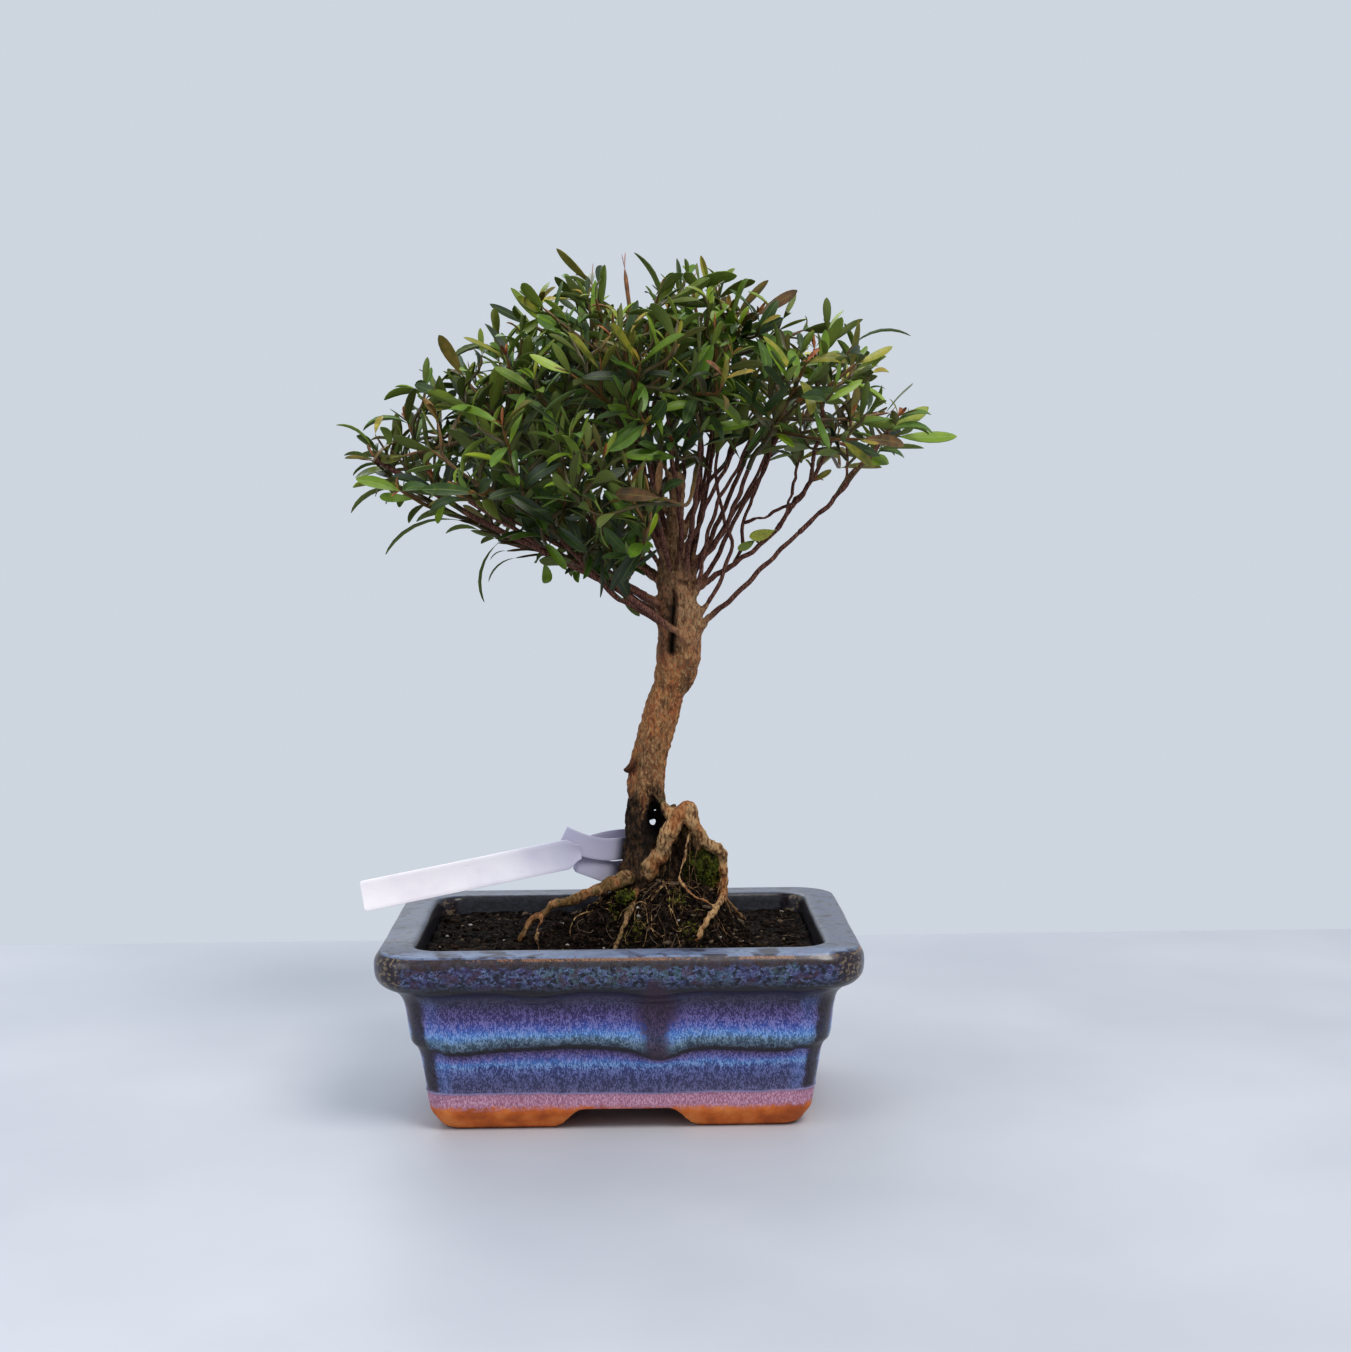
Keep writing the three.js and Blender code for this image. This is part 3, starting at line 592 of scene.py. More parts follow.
def make_leaf():
    material, shader = new_material("glossy_leaf", specular_ior_level=0.45)
    place = pot_millimetres(shader)
    tone_and_shade, youth, under = (attribute(place, name) for name in ("tone_and_shade", "youth", "underside"))
    blade = Value(add(shader.id_data, "ShaderNodeUVMap", uv_map="blade").outputs["UV"])
    across, along = parts_of(blade)[:2]
    from_rib = (across - 0.5).worked("ABSOLUTE", across - 0.5)
    blotch = streaks(place, 0.3, detail=3)
    # The leaf green follows tone_and_shade: the leaf's own tone together with painted light and shade
    green = ramp(tone_and_shade + 0.3 * (blotch - 0.5), [
        (0.0, (24, 38, 22)), (0.22, (42, 64, 24)), (0.42, (76, 106, 26)), (0.6, (108, 134, 32)),
        (0.78, (132, 150, 40)), (0.9, (142, 118, 50)), (1.0, (188, 192, 64)),
    ])
    green = blend(0.55 * under, green, (116, 124, 58))
    rib = from_rib.fall(0.02, 0.07)
    green = blend(0.28 * rib, green, (128, 140, 62))
    sloped = Value(add(shader.id_data, "ShaderNodeCombineXYZ", {0: along - 0.35 * from_rib}).outputs[0])
    waves = {"Vector": sloped, "Scale": 7.0, "Distortion": 0.6, "Detail": 1.0}
    veins = Value(add(shader.id_data, "ShaderNodeTexWave", waves).outputs["Fac"])
    green = blend(0.12 * veins, green, (104, 128, 50))
    young = ramp(blotch, [(0.35, (112, 60, 34)), (0.6, (166, 102, 58))])
    red = ramp(blotch, [(0.35, (122, 38, 26)), (0.6, (176, 78, 52))])
    young = blend(youth.rise(1.0, 1.2), young, red)
    colour = blend(youth.worked("MINIMUM", youth, 1.0), green, young)
    colour = blend(0.2 * from_rib.rise(0.42, 0.5), colour, (96, 92, 34))
    roughness = 0.36 + 0.2 * under + 0.12 * blotch
    finish_surface(shader, colour, roughness, 0.25 * veins - 0.8 * rib, 0.35, 0.25)
    return material


def make_twig():
    material, shader = new_material("young_twig", specular_ior_level=0.3)
    place = pot_millimetres(shader)
    mottle = streaks(place, 0.8, 1, 0.5, detail=3)
    old = ramp(mottle, [(0.35, (66, 44, 38)), (0.52, (100, 70, 56)), (0.68, (132, 98, 76))])
    fresh = ramp(mottle, [(0.35, (150, 96, 46)), (0.6, (188, 134, 76))])
    colour = blend(attribute(place, "youth"), old, fresh)
    finish_surface(shader, colour, 0.5 + 0.2 * mottle, mottle, 0.3, 0.2)
    return material


def make_compost():
    material, shader = new_material("dark_compost", specular_ior_level=0.08)
    place = pot_millimetres(shader)
    clods = streaks(place, 0.5, detail=6, warp=0.5)
    fibres = streaks(place, 1.1, 1, 0.3, detail=4, warp=1.5)
    kind = attribute(place, "kind")
    colour = ramp(clods, [(0.4, (5, 4, 4)), (0.5, (18, 14, 12)), (0.62, (44, 35, 30))])
    colour = blend(0.5 * fibres.rise(0.56, 0.68), colour, (92, 70, 54))
    chips = ramp(kind, [
        (0.0, (10, 8, 7)), (0.3, (22, 18, 16)), (0.5, (66, 50, 40)), (0.7, (132, 114, 96)),
        (0.92, (206, 200, 190)),
    ], "CONSTANT")
    colour = blend(kind.rise(0.0, 0.02), colour, blend(clods, chips, (34, 25, 19)))
    finish_surface(shader, colour, 0.95 - 0.2 * clods, clods + 0.5 * fibres, 0.9, 0.9)
    return material


def make_moss():
    material, shader = new_material("fine_moss", roughness=0.9, specular_ior_level=0.15)
    place = pot_millimetres(shader)
    tufts = streaks(place, 0.35, detail=5)
    colour = ramp(tufts, [(0.36, (14, 16, 8)), (0.48, (42, 44, 16)), (0.6, (74, 80, 26))])
    lit = ramp(tufts, [(0.36, (84, 82, 34)), (0.5, (132, 130, 50)), (0.62, (180, 172, 88))])
    finish_surface(shader, blend(0.75 * attribute(place, "tip"), colour, lit), None, tufts, 0.6, 0.5)
    return material


def make_rootlet():
    material, shader = new_material("fine_rootlet", specular_ior_level=0.25)
    place = pot_millimetres(shader)
    mottle = streaks(place, 0.6, detail=4)
    colour = ramp(mottle + 0.3 * attribute(place, "tone"), [
        (0.36, (44, 31, 22)), (0.52, (84, 62, 42)), (0.68, (134, 106, 70)), (0.8, (182, 154, 110)),
    ])
    finish_surface(shader, colour, 0.65 + 0.2 * mottle, mottle, 0.4, 0.3)
    return material


def make_label():
    material, shader = new_material("white_label", specular_ior_level=0.4)
    place = pot_millimetres(shader)
    along = attribute(place, "along")
    haze = streaks(place, 0.06, detail=4)
    scuffs = streaks(place, 0.9, 0.2, 3, detail=4)
    colour = ramp(haze, [(0.35, (224, 220, 232)), (0.6, (240, 237, 243))])
    # Painted light and shade: warm white toward the strip's left end, which faces the light, and
    # grey-lavender toward its right end and on the tail, which turn into shade
    colour = blend(0.5 * along.fall(0.1, 0.8), colour, (250, 240, 240))
    colour = blend(0.9 * along.rise(0.52, 1.02), colour, (162, 160, 182))
    colour = blend(0.2 * scuffs.rise(0.62, 0.75), colour, (180, 176, 188))
    finish_surface(shader, colour, 0.4 + 0.2 * haze, scuffs, 0.1, 0.1)
    return material


def make_mesh_plastic():
    material, shader = new_material("black_mesh_plastic")
    grain = streaks(pot_millimetres(shader), 1.2, detail=3)
    colour = ramp(grain, [(0.35, (20, 20, 22)), (0.65, (44, 42, 42))])
    finish_surface(shader, colour, 0.55 + 0.2 * grain, grain, 0.3, 0.2)
    return material


GLAZE, BARK, LEAF, TWIG = make_glaze(), make_bark(), make_leaf(), make_twig()
COMPOST, MOSS, ROOTLET, LABEL = make_compost(), make_moss(), make_rootlet(), make_label()
MESH_PLASTIC = make_mesh_plastic()
for node in ("drain_mesh_left", "drain_mesh_right"):
    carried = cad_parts[node].data
    carried.materials.clear()
    carried.materials.append(MESH_PLASTIC)


# Pot: a profile swept round a rounded rectangle
OUTSIDE = Path(
    (72, 0, 0), (74.5, 0, 1.4), (76.6, 0, 4.2), (79, 0, 8), (80.3, 0, 15), (81.7, 0, 24), (83.1, 0, 32.5),
    (84.1, 0, 35.4), (86.2, 0, 38.2), (87.3, 0, 45), (88.3, 0, 52.5), (89.6, 0, 57), (92.4, 0, 60.2),
    (96.5, 0, 62.6), (99.2, 0, 65.8), (100, 0, 69.8), (99.7, 0, 74.2), (97.8, 0, 77.3),
)
RIM = Path((97.8, 0, 77.3), (92, 0, 77.3), (85, 0, 77.3), (84, 0, 76), (82.8, 0, 70))
INSIDE = Path((82.8, 0, 70), (77, 0, 36), (72, 0, 18.5), (69.5, 0, 16))
LEDGE_DIPS = [(16, 9.5, 4.4), (-20, 14, -1.2), (62, 16, 1.2), (-66, 12, 1.6)]
CORNER_EDGE = 7
LIP_DIPS = [(-34, 13, 4.2), (14, 12, 4.6), (48, 16, 1.8), (-74, 12, 2.4), (78, 12, 2.6)]


def ring_of(half_length, count_long=56, count_short=42, count_corner=14):
    """Points of a rounded rectangle: x, y, distance along its side, 1 on a corner down to -1 away from it."""
    floor_half = 60
    shrink = min(1, half_length / floor_half)
    half_depth = shrink * (max(half_length, floor_half) - (POT_LENGTH - POT_DEPTH) / 2)
    radius = shrink * max(7, RIM_CORNER - 0.5 * (POT_LENGTH / 2 - half_length))
    points = []
    sides = [(0, -1, half_length, half_depth, count_long), (1, 0, half_depth, half_length, count_short)] * 2
    for k, (ax, ay, reach, off, count) in enumerate(sides):
        turn = [0, math.pi / 2, math.pi, 1.5 * math.pi][k]
        c, s = math.cos(turn), math.sin(turn)
        straight = reach - radius
        for i in range(count):
            a = -straight + 2 * straight * i / count
            beside = -min(1, (straight - abs(a)) / CORNER_EDGE)
            points.append((a * c + off * s, a * s - off * c, a, beside))
        for i in range(count_corner):
            b = math.pi / 2 * i / count_corner
            px, py = straight + radius * math.sin(b), -off + radius - radius * math.cos(b)
            away = abs(b - math.pi / 4) / (math.pi / 4)
            points.append((px * c - py * s, px * s + py * c, 100, 1 - away))
    return points


def arch_at(x, y):
    """How high the underside is cut away between two feet."""
    front = 1 - smoothstep(18, 30, abs(x - ARCH_CENTRE_X))
    side = 1 - smoothstep(14.5, 25, abs(y))
    on_side = abs(x) > 50
    return ARCH_HEIGHT * (side if on_side else front)


def softly_above(z, floor, softness=1.6):
    h = min(1.0, max(0.0, 0.5 + 0.5 * (z - floor) / softness))
    return floor + (z - floor) * h + softness * h * (1 - h) if floor > 0.05 else z


def dips(where, table):
    return sum(depth * bump(where - middle, width) for middle, width, depth in table)


def build_pot():
    profile = [(0, FLOOR_UNDERSIDE), (30, FLOOR_UNDERSIDE), (50, FLOOR_UNDERSIDE), (55.6, FLOOR_UNDERSIDE)]
    profile += [(56.8, FLOOR_UNDERSIDE - 0.5), (57.6, 8), (58, 6), (58.2, 4)]
    profile += [(58.4, 2), (58.8, 0.5), (59.6, 0), (65, 0)]
    profile += [(p[0], p[2]) for p in OUTSIDE.points(np.linspace(0, 1, 84))]
    profile += [(p[0], p[2]) for p in RIM.points(np.linspace(0, 1, 22))[1:]]
    profile += [(p[0], p[2]) for p in INSIDE.points(np.linspace(0, 1, 14))[1:]]
    profile += [(60, FLOOR_TOP), (30, FLOOR_TOP), (0, FLOOR_TOP)]
    rings = [ring_of(max(radius, 1e-4)) for radius, z in profile]
    count, stations = len(rings[0]), len(profile) - 1
    bm = bmesh.new()
    layers = [bm.verts.layers.float.new(name) for name in ("corner", "glaze_sag", "drip", "inside")]
    made = bmesh.ops.create_grid(bm, x_segments=count, y_segments=stations, size=0.5)["verts"]
    first_inside = stations - 16
    for v in made:
        i, j = round((v.co.x + 0.5) * count) % count, round((v.co.y + 0.5) * stations)
        x, y, where, corner = rings[j][i]
        radius, z = profile[j]
        side_phase = 0 if y < -40 and abs(where) < 95 else 37 * (1 + (x > 0)) + 11 * (y > 0)
        sway = where + side_phase * 0.8
        outer = 12 <= j < first_inside
        ledge = dips(sway, LEDGE_DIPS) * bump(z - 36.5, 5.5)
        lip = dips(sway, LIP_DIPS) * bump(z - 59.5, 3.2)
        arch = arch_at(x, y) if radius > 57.5 and z < 14 else 0
        height = softly_above(z, arch)
        push = 0
        if outer and z > 16:
            height -= ledge + 0.55 * lip
            push = 0.35 * noise.noise(Vector((x, y, z)) * 0.045)
            push += 0.12 * noise.noise(Vector((x, y, 0.4 * z)) * 0.3)
            push += 0.55 * bump(z - 16.9, 0.7) + 0.3 * dips(sway, LIP_DIPS) / 4 * bump(z - 58, 3)
        grow = 1 + push / max(radius, 30)
        v.co = (x * grow, y * grow, height)
        v[layers[0]] = corner
        v[layers[1]] = (ledge + 0.8 * lip) if outer else 0
        on_front = outer and y < -40
        drip_width = 5.2 + 3.2 * smoothstep(42, 50, z) * (1 - smoothstep(56, 63, z))
        drips = 1.25 * bump(where - 14.8 - 0.6 * math.sin(z / 4), drip_width)
        drips *= smoothstep(33, 38, z) * (1 - smoothstep(62, 72, z))
        side_drips = bump(where + 31, 3.2) * smoothstep(44, 52, z) * (1 - smoothstep(60, 70, z))
        v[layers[2]] = drips if on_front else side_drips if outer else 0
        v[layers[3]] = smoothstep(84.9, 84.1, radius) if j > 96 else 0
    bmesh.ops.remove_doubles(bm, verts=bm.verts, dist=1e-4)
    bmesh.ops.recalc_face_normals(bm, faces=bm.faces)
    drill = bmesh.new()
    for side in (-1, 1):
        at = Matrix.Translation((side * DRAIN_HOLE_X, 0, (FLOOR_TOP + FLOOR_UNDERSIDE) / 2))
        round_bar = {"radius1": DRAIN_HOLE_RADIUS, "radius2": DRAIN_HOLE_RADIUS, "depth": 20}
        bmesh.ops.create_cone(drill, cap_ends=True, segments=40, matrix=at, **round_bar)
    drill_mesh = mesh_of("drill", drill)
    drill_object = put_in_scene("drill", drill_mesh)
    settings = {"operation": "DIFFERENCE", "object": drill_object, "solver": "EXACT"}
    mesh = with_modifiers(bm, ("BOOLEAN", settings))
    bpy.data.objects.remove(drill_object)
    mesh.transform(TO_ROW)
    place_mesh("glazed_pot", mesh, [GLAZE], ["pot"], 40)


build_pot()


# Trunk and roots, laid out as in the source
TRUNK = Path(
    (9, 0, 76), (9.5, 0, 98), (12, 1, 125), (13, 2, 146), (19, 2, 170),
    (25.5, 0, 190), (26.5, -1, 211), (23.5, 0, 230), (25.5, 1, 252), (26.5, 1, 271),
)
GIRTH_HEIGHTS = [76, 98, 110, 134, 178, 189, 212, 223, 234, 246, 271]
GIRTHS = [11.5, 9.8, 8.4, 7.7, 7.2, 9.2, 9.2, 6.7, 5.2, 3.4, 3.1]
ARCH_TOP, ARCH_SHOULDER, ARCH_ELBOW = (28.5, -13, 127.6), (34.5, -11, 115.5), (43, -8, 108)
ROOTS = [
    ((4.3, 2.7), [(9, -5, 94), (15, -10, 105), (21, -13, 115), ARCH_TOP, ARCH_SHOULDER, ARCH_ELBOW]),
    ((2.6, 1.8), [ARCH_SHOULDER, ARCH_ELBOW, (44.5, -6, 99), (44.3, -5, 84)]),
    ((3.5, 0.9), [
        (8, -4, 99), (-3, -13, 95.5), (-12, -15.5, 92.5),
        (-27, -19, 87.5), (-37, -21, 82), (-43, -22, 73),
    ]),
    ((0.8, 0.5), [(-31, -19, 86), (-35, -26, 79), (-34, -32, 70)]),
    ((0.8, 0.65), [
        (30, -12, 118), (28, -17, 109), (25.5, -19.5, 100),
        (29, -22, 93.5), (35, -23, 90), (42, -22, 86.5),
    ]),
    ((1.7, 1.3), [(45, -13, 92), (42, -21, 87.5), (37, -27, 82), (32, -32, 74)]),
    ((4.2, 1.4), [(12, 3, 97), (6, 18, 92), (-2, 31, 82), (-8, 43, 71)]),
    ((4.0, 1.4), [(13, 2, 97), (30, 15, 92), (45, 25, 81), (56, 33, 70)]),
    ((2.6, 2.2), [(13, 4, 131), (17, 14, 122), (18.5, 19.5, 108), (17, 21, 84)]),
    ((1.5, 0.7), [(8, -5, 94), (5, -19, 87), (0, -32, 77.5), (-4, -42, 68)]),
    ((2.6, 2.4), [(14, -2, 133), (18.5, -5.5, 128), (23, -9.5, 124.6), (28, -12.5, 123.5)]),
]
RINGS = [
    {"count": 7, "first": 180, "spread": (98, 74), "height": 264, "fork": 199, "step": 3},
    {"count": 6, "first": 210, "spread": (68, 56), "height": 298, "fork": 219, "step": 2},
    {"count": 3, "first": 250, "spread": (34, 30), "height": 326, "fork": 232, "step": 3},
]
LIMB_SHARE, LIMB_BOW = 0.66, (4.5, 3.6)

draw = draws_from(41)
trunk_points = TRUNK.points(np.linspace(0, 1, 251))


def between(low, high):
    return low + (high - low) * draw()


def trunk_point_at(height):
    return next(p for p in trunk_points if p[2] >= height).copy()


def limbs_of_ring(ring):
    limbs = []
    for k in range(ring["count"]):
        angle = math.radians(ring["first"] + 360 / ring["count"] * k + between(-5, 5))
        outwards = np.array([math.cos(angle), math.sin(angle), 0])
        start = trunk_point_at(ring["fork"] + ring["step"] * (k % 4))
        target = outwards * np.array([*ring["spread"], 0]) + CANOPY_CENTRE
        target[2] = ring["height"] + between(-5, 5)
        end = start + (target - start) * LIMB_SHARE
        bend = (start + end) / 2 + outwards * LIMB_BOW[0]
        bend[2] -= LIMB_BOW[1]
        limbs.append((Path(start, bend, end), target))
    return limbs


limbs = [limb for ring in RINGS for limb in limbs_of_ring(ring)]


# Room in the crown: every twig and leaf as a fat line
class Room:
    def __init__(self):
        self.lines = np.zeros((12000, 7))
        self.owners = np.full(12000, -1)
        self.twigs = np.zeros(12000, bool)
        self.count = 0

    def take(self, start, end, radius, owner, twig=False):
        self.lines[self.count] = (*start, *end, radius)
        self.twigs[self.count] = twig
        self.owners[self.count] = owner
        self.count += 1

    def take_path(self, path, radius, owner, count):
        p = path.points(np.linspace(0, 1, count + 1))
        for a, b in zip(p, p[1:]):
            self.take(a, b, radius, owner, True)

    def gap(self, start, end, radius, owner=None):
        """The least gap to all that is there, an own twig excepted."""
        n = self.count
        lines = self.lines[:n]
        u = end - start
        v = lines[:, 3:6] - lines[:, :3]
        w = start - lines[:, :3]
        uu, uv, vv = u @ u, v @ u, (v * v).sum(1)
        vw, uw = (v * w).sum(1), w @ u
        flat = uu * vv - uv * uv
        s = np.where(flat > 1e-9, np.clip((uv * vw - vv * uw) / np.maximum(flat, 1e-12), 0, 1), 0)
        t = np.clip((uv * s + vw) / vv, 0, 1)
        s = np.clip((uv * t - uw) / uu, 0, 1)
        gaps = np.linalg.norm(w + u * s[:, None] - v * t[:, None], axis=1) - radius - lines[:, 6]
        if owner is not None:
            gaps[(self.owners[:n] == owner) & self.twigs[:n]] = 99
        return gaps.min()


room = Room()
ROOM_BETWEEN = 0.8
for k, (path, target) in enumerate(limbs):
    room.take_path(path, 2.3, 100 + k, 4)
room.take_path(TRUNK, 9, 99, 12)


# Where the crown is flatter or fuller than an ellipsoid: side, elevation and width in degrees, share of reach
SHOULDERS = [(-1, 37, 19, -0.14), (1, 57, 12, -0.08), (1, 32, 9, 0.08)]


def reach_along(d):
    reach = CANOPY_REACH
    x = d[0] / (reach["left"] if d[0] < 0 else reach["right"])
    y = d[1] / (reach["front"] if d[1] < 0 else reach["back"])
    z = d[2] / (reach["down"] if d[2] < 0 else reach["up"])
    level = math.hypot(d[0], d[1])
    elevation = math.degrees(math.atan2(d[2], level))
    sideways = (d[0] / level) ** 2
    swelling = sum(
        more * sideways * bump(elevation - middle, width)
        for side, middle, width, more in SHOULDERS
        if side * d[0] > 0
    )
    return (1 + swelling) / math.sqrt(x * x + y * y + z * z)


def source_leaf(start, tangent, side, end_pair, crossed, owner):
    level = unit(np.cross(tangent, UP)) * side
    for attempt in range(5):
        turn = math.radians((90 if crossed else 0) + attempt * 23 + between(-14, 14))
        opening = math.radians(between(42, 62) - (14 if end_pair else 0))
        out = turned(level, tangent, turn)
        along = tangent * math.cos(opening) + out * math.sin(opening)
        across = unit(np.cross(tangent, along))
        length, width = LEAF_LENGTH * between(0.82, 1.14), LEAF_WIDTH * between(0.9, 1.1)
        tip = start + along * length
        if tip[2] > TREE_HEIGHT or tip[2] < 200:
            continue
        if room.gap(start + along * 5, tip, LEAF_WIDTH * 0.36) <= ROOM_BETWEEN:
            continue
        room.take(start + along * 5, tip, LEAF_WIDTH * 0.36, owner)
        return [(start, along, across, length, width)]
    return []


def source_leaves(shoot, pairs, owner):
    leaves = []
    for pair in range(pairs):
        share = 0.97 - pair * 8.5 / shoot.length
        if share < 0.2:
            break
        for side in (-1, 1):
            start, tangent = shoot.point(share), shoot.tangent(share)
            leaves += source_leaf(start, tangent, side, pair == 0, pair % 2 == 1, owner)
    return leaves


PAIRS_ON_SHOOTS = [3, 2, 3, 2]


def source_shoot(lead, outward, index, number):
    start = lead.point(min(0.98, 0.4 + 0.19 * number))
    side = unit(np.array([-outward[1], outward[0], 0]))
    over = np.cross(outward, side)
    for attempt in range(8):
        turn = number / len(PAIRS_ON_SHOOTS) * 2 * math.pi + index + between(-0.4, 0.4)
        spread = 0.04 if number == len(PAIRS_ON_SHOOTS) - 1 else 0.3 + 0.05 * attempt
        aim = unit(outward + side * spread * math.cos(turn) + over * spread * math.sin(turn))
        end = CANOPY_CENTRE + aim * reach_along(aim) * (0.86 - 0.02 * attempt)
        shoot = Path(start, (start + end) / 2 - UP * 1.5, end)
        near, far = shoot.point(0.3), end
        halves = [(near, (near + far) / 2), ((near + far) / 2, far)]
        if any(room.gap(a, b, 1, index) <= ROOM_BETWEEN for a, b in halves):
            continue
        for a, b in halves:
            room.take(a, b, 1, index, True)
        return shoot, source_leaves(shoot, PAIRS_ON_SHOOTS[number], index)
    return None


def source_spray(limb, target, index):
    heading = limb.tangent(1)
    start = limb.point(1) + heading * FIT_GAP
    outward = unit(target - CANOPY_CENTRE)
    lead = Path(start, start + heading * 6, start + (target - start) * 0.55, target + outward * 4)
    room.take_path(lead, 1.2, index, 3)
    shoots = [source_shoot(lead, outward, index, number) for number in range(len(PAIRS_ON_SHOOTS))]
    return {"lead": lead, "limb": limb, "shoots": [shoot for shoot in shoots if shoot]}


sprays = [source_spray(limb, target, k) for k, (limb, target) in enumerate(limbs)]


# Wood of the tree: trunk, roots and limb collars fused in one skin, with bark worked into it
CRACK = Path((22.8, -9.5, 220), (22.2, -10, 208), (23.2, -10, 195))
STRAND = Path((18.6, -7, 222), (18, -8.5, 208), (18.4, -8, 192))
FOOT_HOLLOW = {"centre": (15, -6, 121.5), "size": (3.8, 8, 8.5)}
LIMB_GIRTH = (1.3, 0.9)
LIMB_COURSES = {
    0: [(19, -3, 213), (-14, -5, 232), (-48.3, -3.2, 242.1)],
    2: [(29, -6, 226), (32, -24, 252), (34.6, -44, 282)],
    3: [(32, -4, 201.5), (36.5, -5, 206), (50, -10, 218.2), (64.7, -14, 233.2), (76.5, -18.3, 244.7)],
    4: [
        (31, -3, 219), (35.1, -2, 222.1), (43, 0, 227.3),
        (50.6, 2, 231.9), (60.9, 4, 239.1), (69.2, 6, 245.9),
    ],
    5: [(28, 5, 226), (28, 26, 250), (27, 46, 280)],
    10: [(31, -2, 226), (41, 6, 244), (55.2, 17.1, 273.6)],
}
# The dark mass and the path under the arch also mark where the roots give way to the trunk's painted shade
DARK_MASS = Path((17, -2, 106), (24, -4, 113), (31, -3, 113), (37, -1, 106), (41, 0, 96))
UNDER_ARCH = Path((29, -7, 107), (29, -7, 113), (29, -7.5, 119))
DARK_LUMPS = [
    ((25, -2, 100), (8, 5, 16)), ((23.5, 0, 119), (4.5, 5, 8)),
    ((33, 0, 97), (9, 5, 13)), ((29, -6, 114), (6, 4, 8)),
]
PEEPHOLES = [(1.2, (14.1, -12, 122.2), (14.8, 32, 115.5)), (1.05, (15.1, -12, 127.3), (15.8, 32, 120.6))]
SPURS = [((7, -1, 146), (2.8, -1.5, 142.4), 1.3), ((6.5, -2, 130), (3.4, -2.5, 127.5), 1.4)]
STEMS = [
    ((1.6, 1.1), [
        (30.5, -8, 199), (20, -15, 207), (1, -19, 221), (-23, -20, 234),
        (-49, -19, 247), (-74, -17, 261), (-101, -13, 277),
    ]),
    ((1.2, 0.8), [(20, -6, 213), (-5, -24, 228), (-31, -34, 241), (-60, -38, 259)]),
    ((1.2, 0.8), [(19, -3, 214), (-18, -8, 238), (-47, -6, 253), (-70, -3, 265), (-85, 0, 273)]),
    ((1.05, 0.8), [
        (76.5, -18.3, 244.7), (93.1, -20, 260.8), (97.1, -20, 265.7),
        (107.8, -22, 278.3), (118, -22, 293),
    ]),
    ((1.05, 0.8), [
        (69.2, 6, 245.9), (76.4, 7, 256.2), (83.8, 8, 266.2), (92.2, 10, 281.6), (96, 10, 293),
    ]),
    ((1.1, 0.7), [
        (26.5, -5, 231), (28.7, -6, 237.3), (34.2, -6, 247.3),
        (40.3, -6, 261.3), (48.4, -6, 276.2), (55, -6, 296),
    ]),
    ((1.1, 0.7), [
        (26, 0, 238), (29.3, 2, 245.3), (36.5, 2, 261.4),
        (43.7, 2, 271.4), (52.9, 2, 287.5), (56.5, 2, 305.5),
    ]),
    ((1.0, 0.7), [
        (33, -5, 219), (34.9, -8, 225.4), (37, -9, 236.3),
        (42.1, -10, 255.3), (50.2, -10, 270.1), (60, -10, 290),
    ]),
    ((1.1, 0.7), [
        (35.1, -2, 222.1), (37.4, 2, 225), (45.6, 4, 239), (49.8, 4, 249.2),
        (58, 4, 262.3), (65.1, 4, 275.4), (73, 4, 294),
    ]),
    ((1.0, 0.6), [
        (32.5, -4, 205), (37, -4, 212), (45.2, -4, 228.1), (49.3, -4, 239.1),
        (46.3, -4, 250.2), (43, -4, 266), (44, -4, 286),
    ]),
    ((0.9, 0.6), [
        (50.6, 2, 231.9), (54.1, 8, 238.9), (55.2, 10, 249.1),
        (60.4, 10, 263.3), (64.5, 10, 275.5), (70, 10, 290),
    ]),
    ((0.8, 0.6), [(55.2, 10, 249.1), (67.4, 8, 253.1), (77.6, 8, 259.1), (83.8, 8, 266.2)]),
    ((0.8, 0.6), [(72.5, 6.5, 250), (76.4, 6, 265.2), (78.5, 6, 275.3), (79.6, 6, 290)]),
    ((1.0, 0.7), [
        (84, 8, 266.4), (84.5, -2, 278), (88, -10, 290.6), (86.1, -12, 304.5), (84.1, -12, 322),
    ]),
    ((0.8, 0.6), [(96, -20, 264), (97.2, -20, 276.5), (98.5, -20, 292)]),
    ((1.0, 0.6), [(31, -2, 224), (36, 4, 252), (40, 8, 280), (42, 9, 318)]),
    ((1.3, 0.7), [(27, -6, 226), (27, -14, 252), (23, -18, 284), (20, -19, 322)]),
    ((1.2, 0.7), [(22, -4, 228), (12, -12, 256), (2, -18, 290), (-6, -20, 322)]),
    ((1.2, 0.7), [(24, 3, 230), (14, 12, 262), (8, 18, 300), (4, 20, 330)]),
    ((1.2, 0.7), [(30, 4, 226), (38, 20, 258), (44, 30, 290), (46, 34, 320)]),
    ((1.0, 0.7), [(30, 6, 222), (46, 24, 246), (62, 38, 268), (72, 46, 292)]),
]


def samples_of(paths, pitch=1.2):
    """Points along the paths, ready to be asked which is nearest."""
    spots = [p for path in paths for p in path.points(np.linspace(0, 1, max(4, int(path.length / pitch))))]
    tree = kdtree.KDTree(len(spots))
    for i, spot in enumerate(spots):
        tree.insert(Vector(spot), i)
    tree.balance()
    return tree


def trunk_radius(along, angle, point):
    z = point[2]
    radius = float(np.interp(z, GIRTH_HEIGHTS, GIRTHS))
    radius *= 1 + 0.07 * math.sin(3 * angle + z / 18) + 0.04 * math.sin(5 * angle - z / 11)
    return radius


def wandering(path, reach, seed, steps=26):
    """The same path with small kinks, still through its two ends."""
    spots = path.points(np.linspace(0, 1, steps))
    for i, p in enumerate(spots):
        ease = min(1, 4 * min(i, steps - 1 - i) / steps)
        sway = noise.noise_vector(Vector((seed * 3.1, i * 0.42, 0)))
        p += np.array(sway) * reach * ease
    return Path(*spots)


def limb_radius(first, last, length, collar=1.5):
    def radius(along, angle, point):
        knots = 0.12 * noise.noise(Vector(point) * 0.3)
        return (first + (last - first) * along) * (1 + knots) + collar * math.exp(-along * length / 4.5)

    return radius


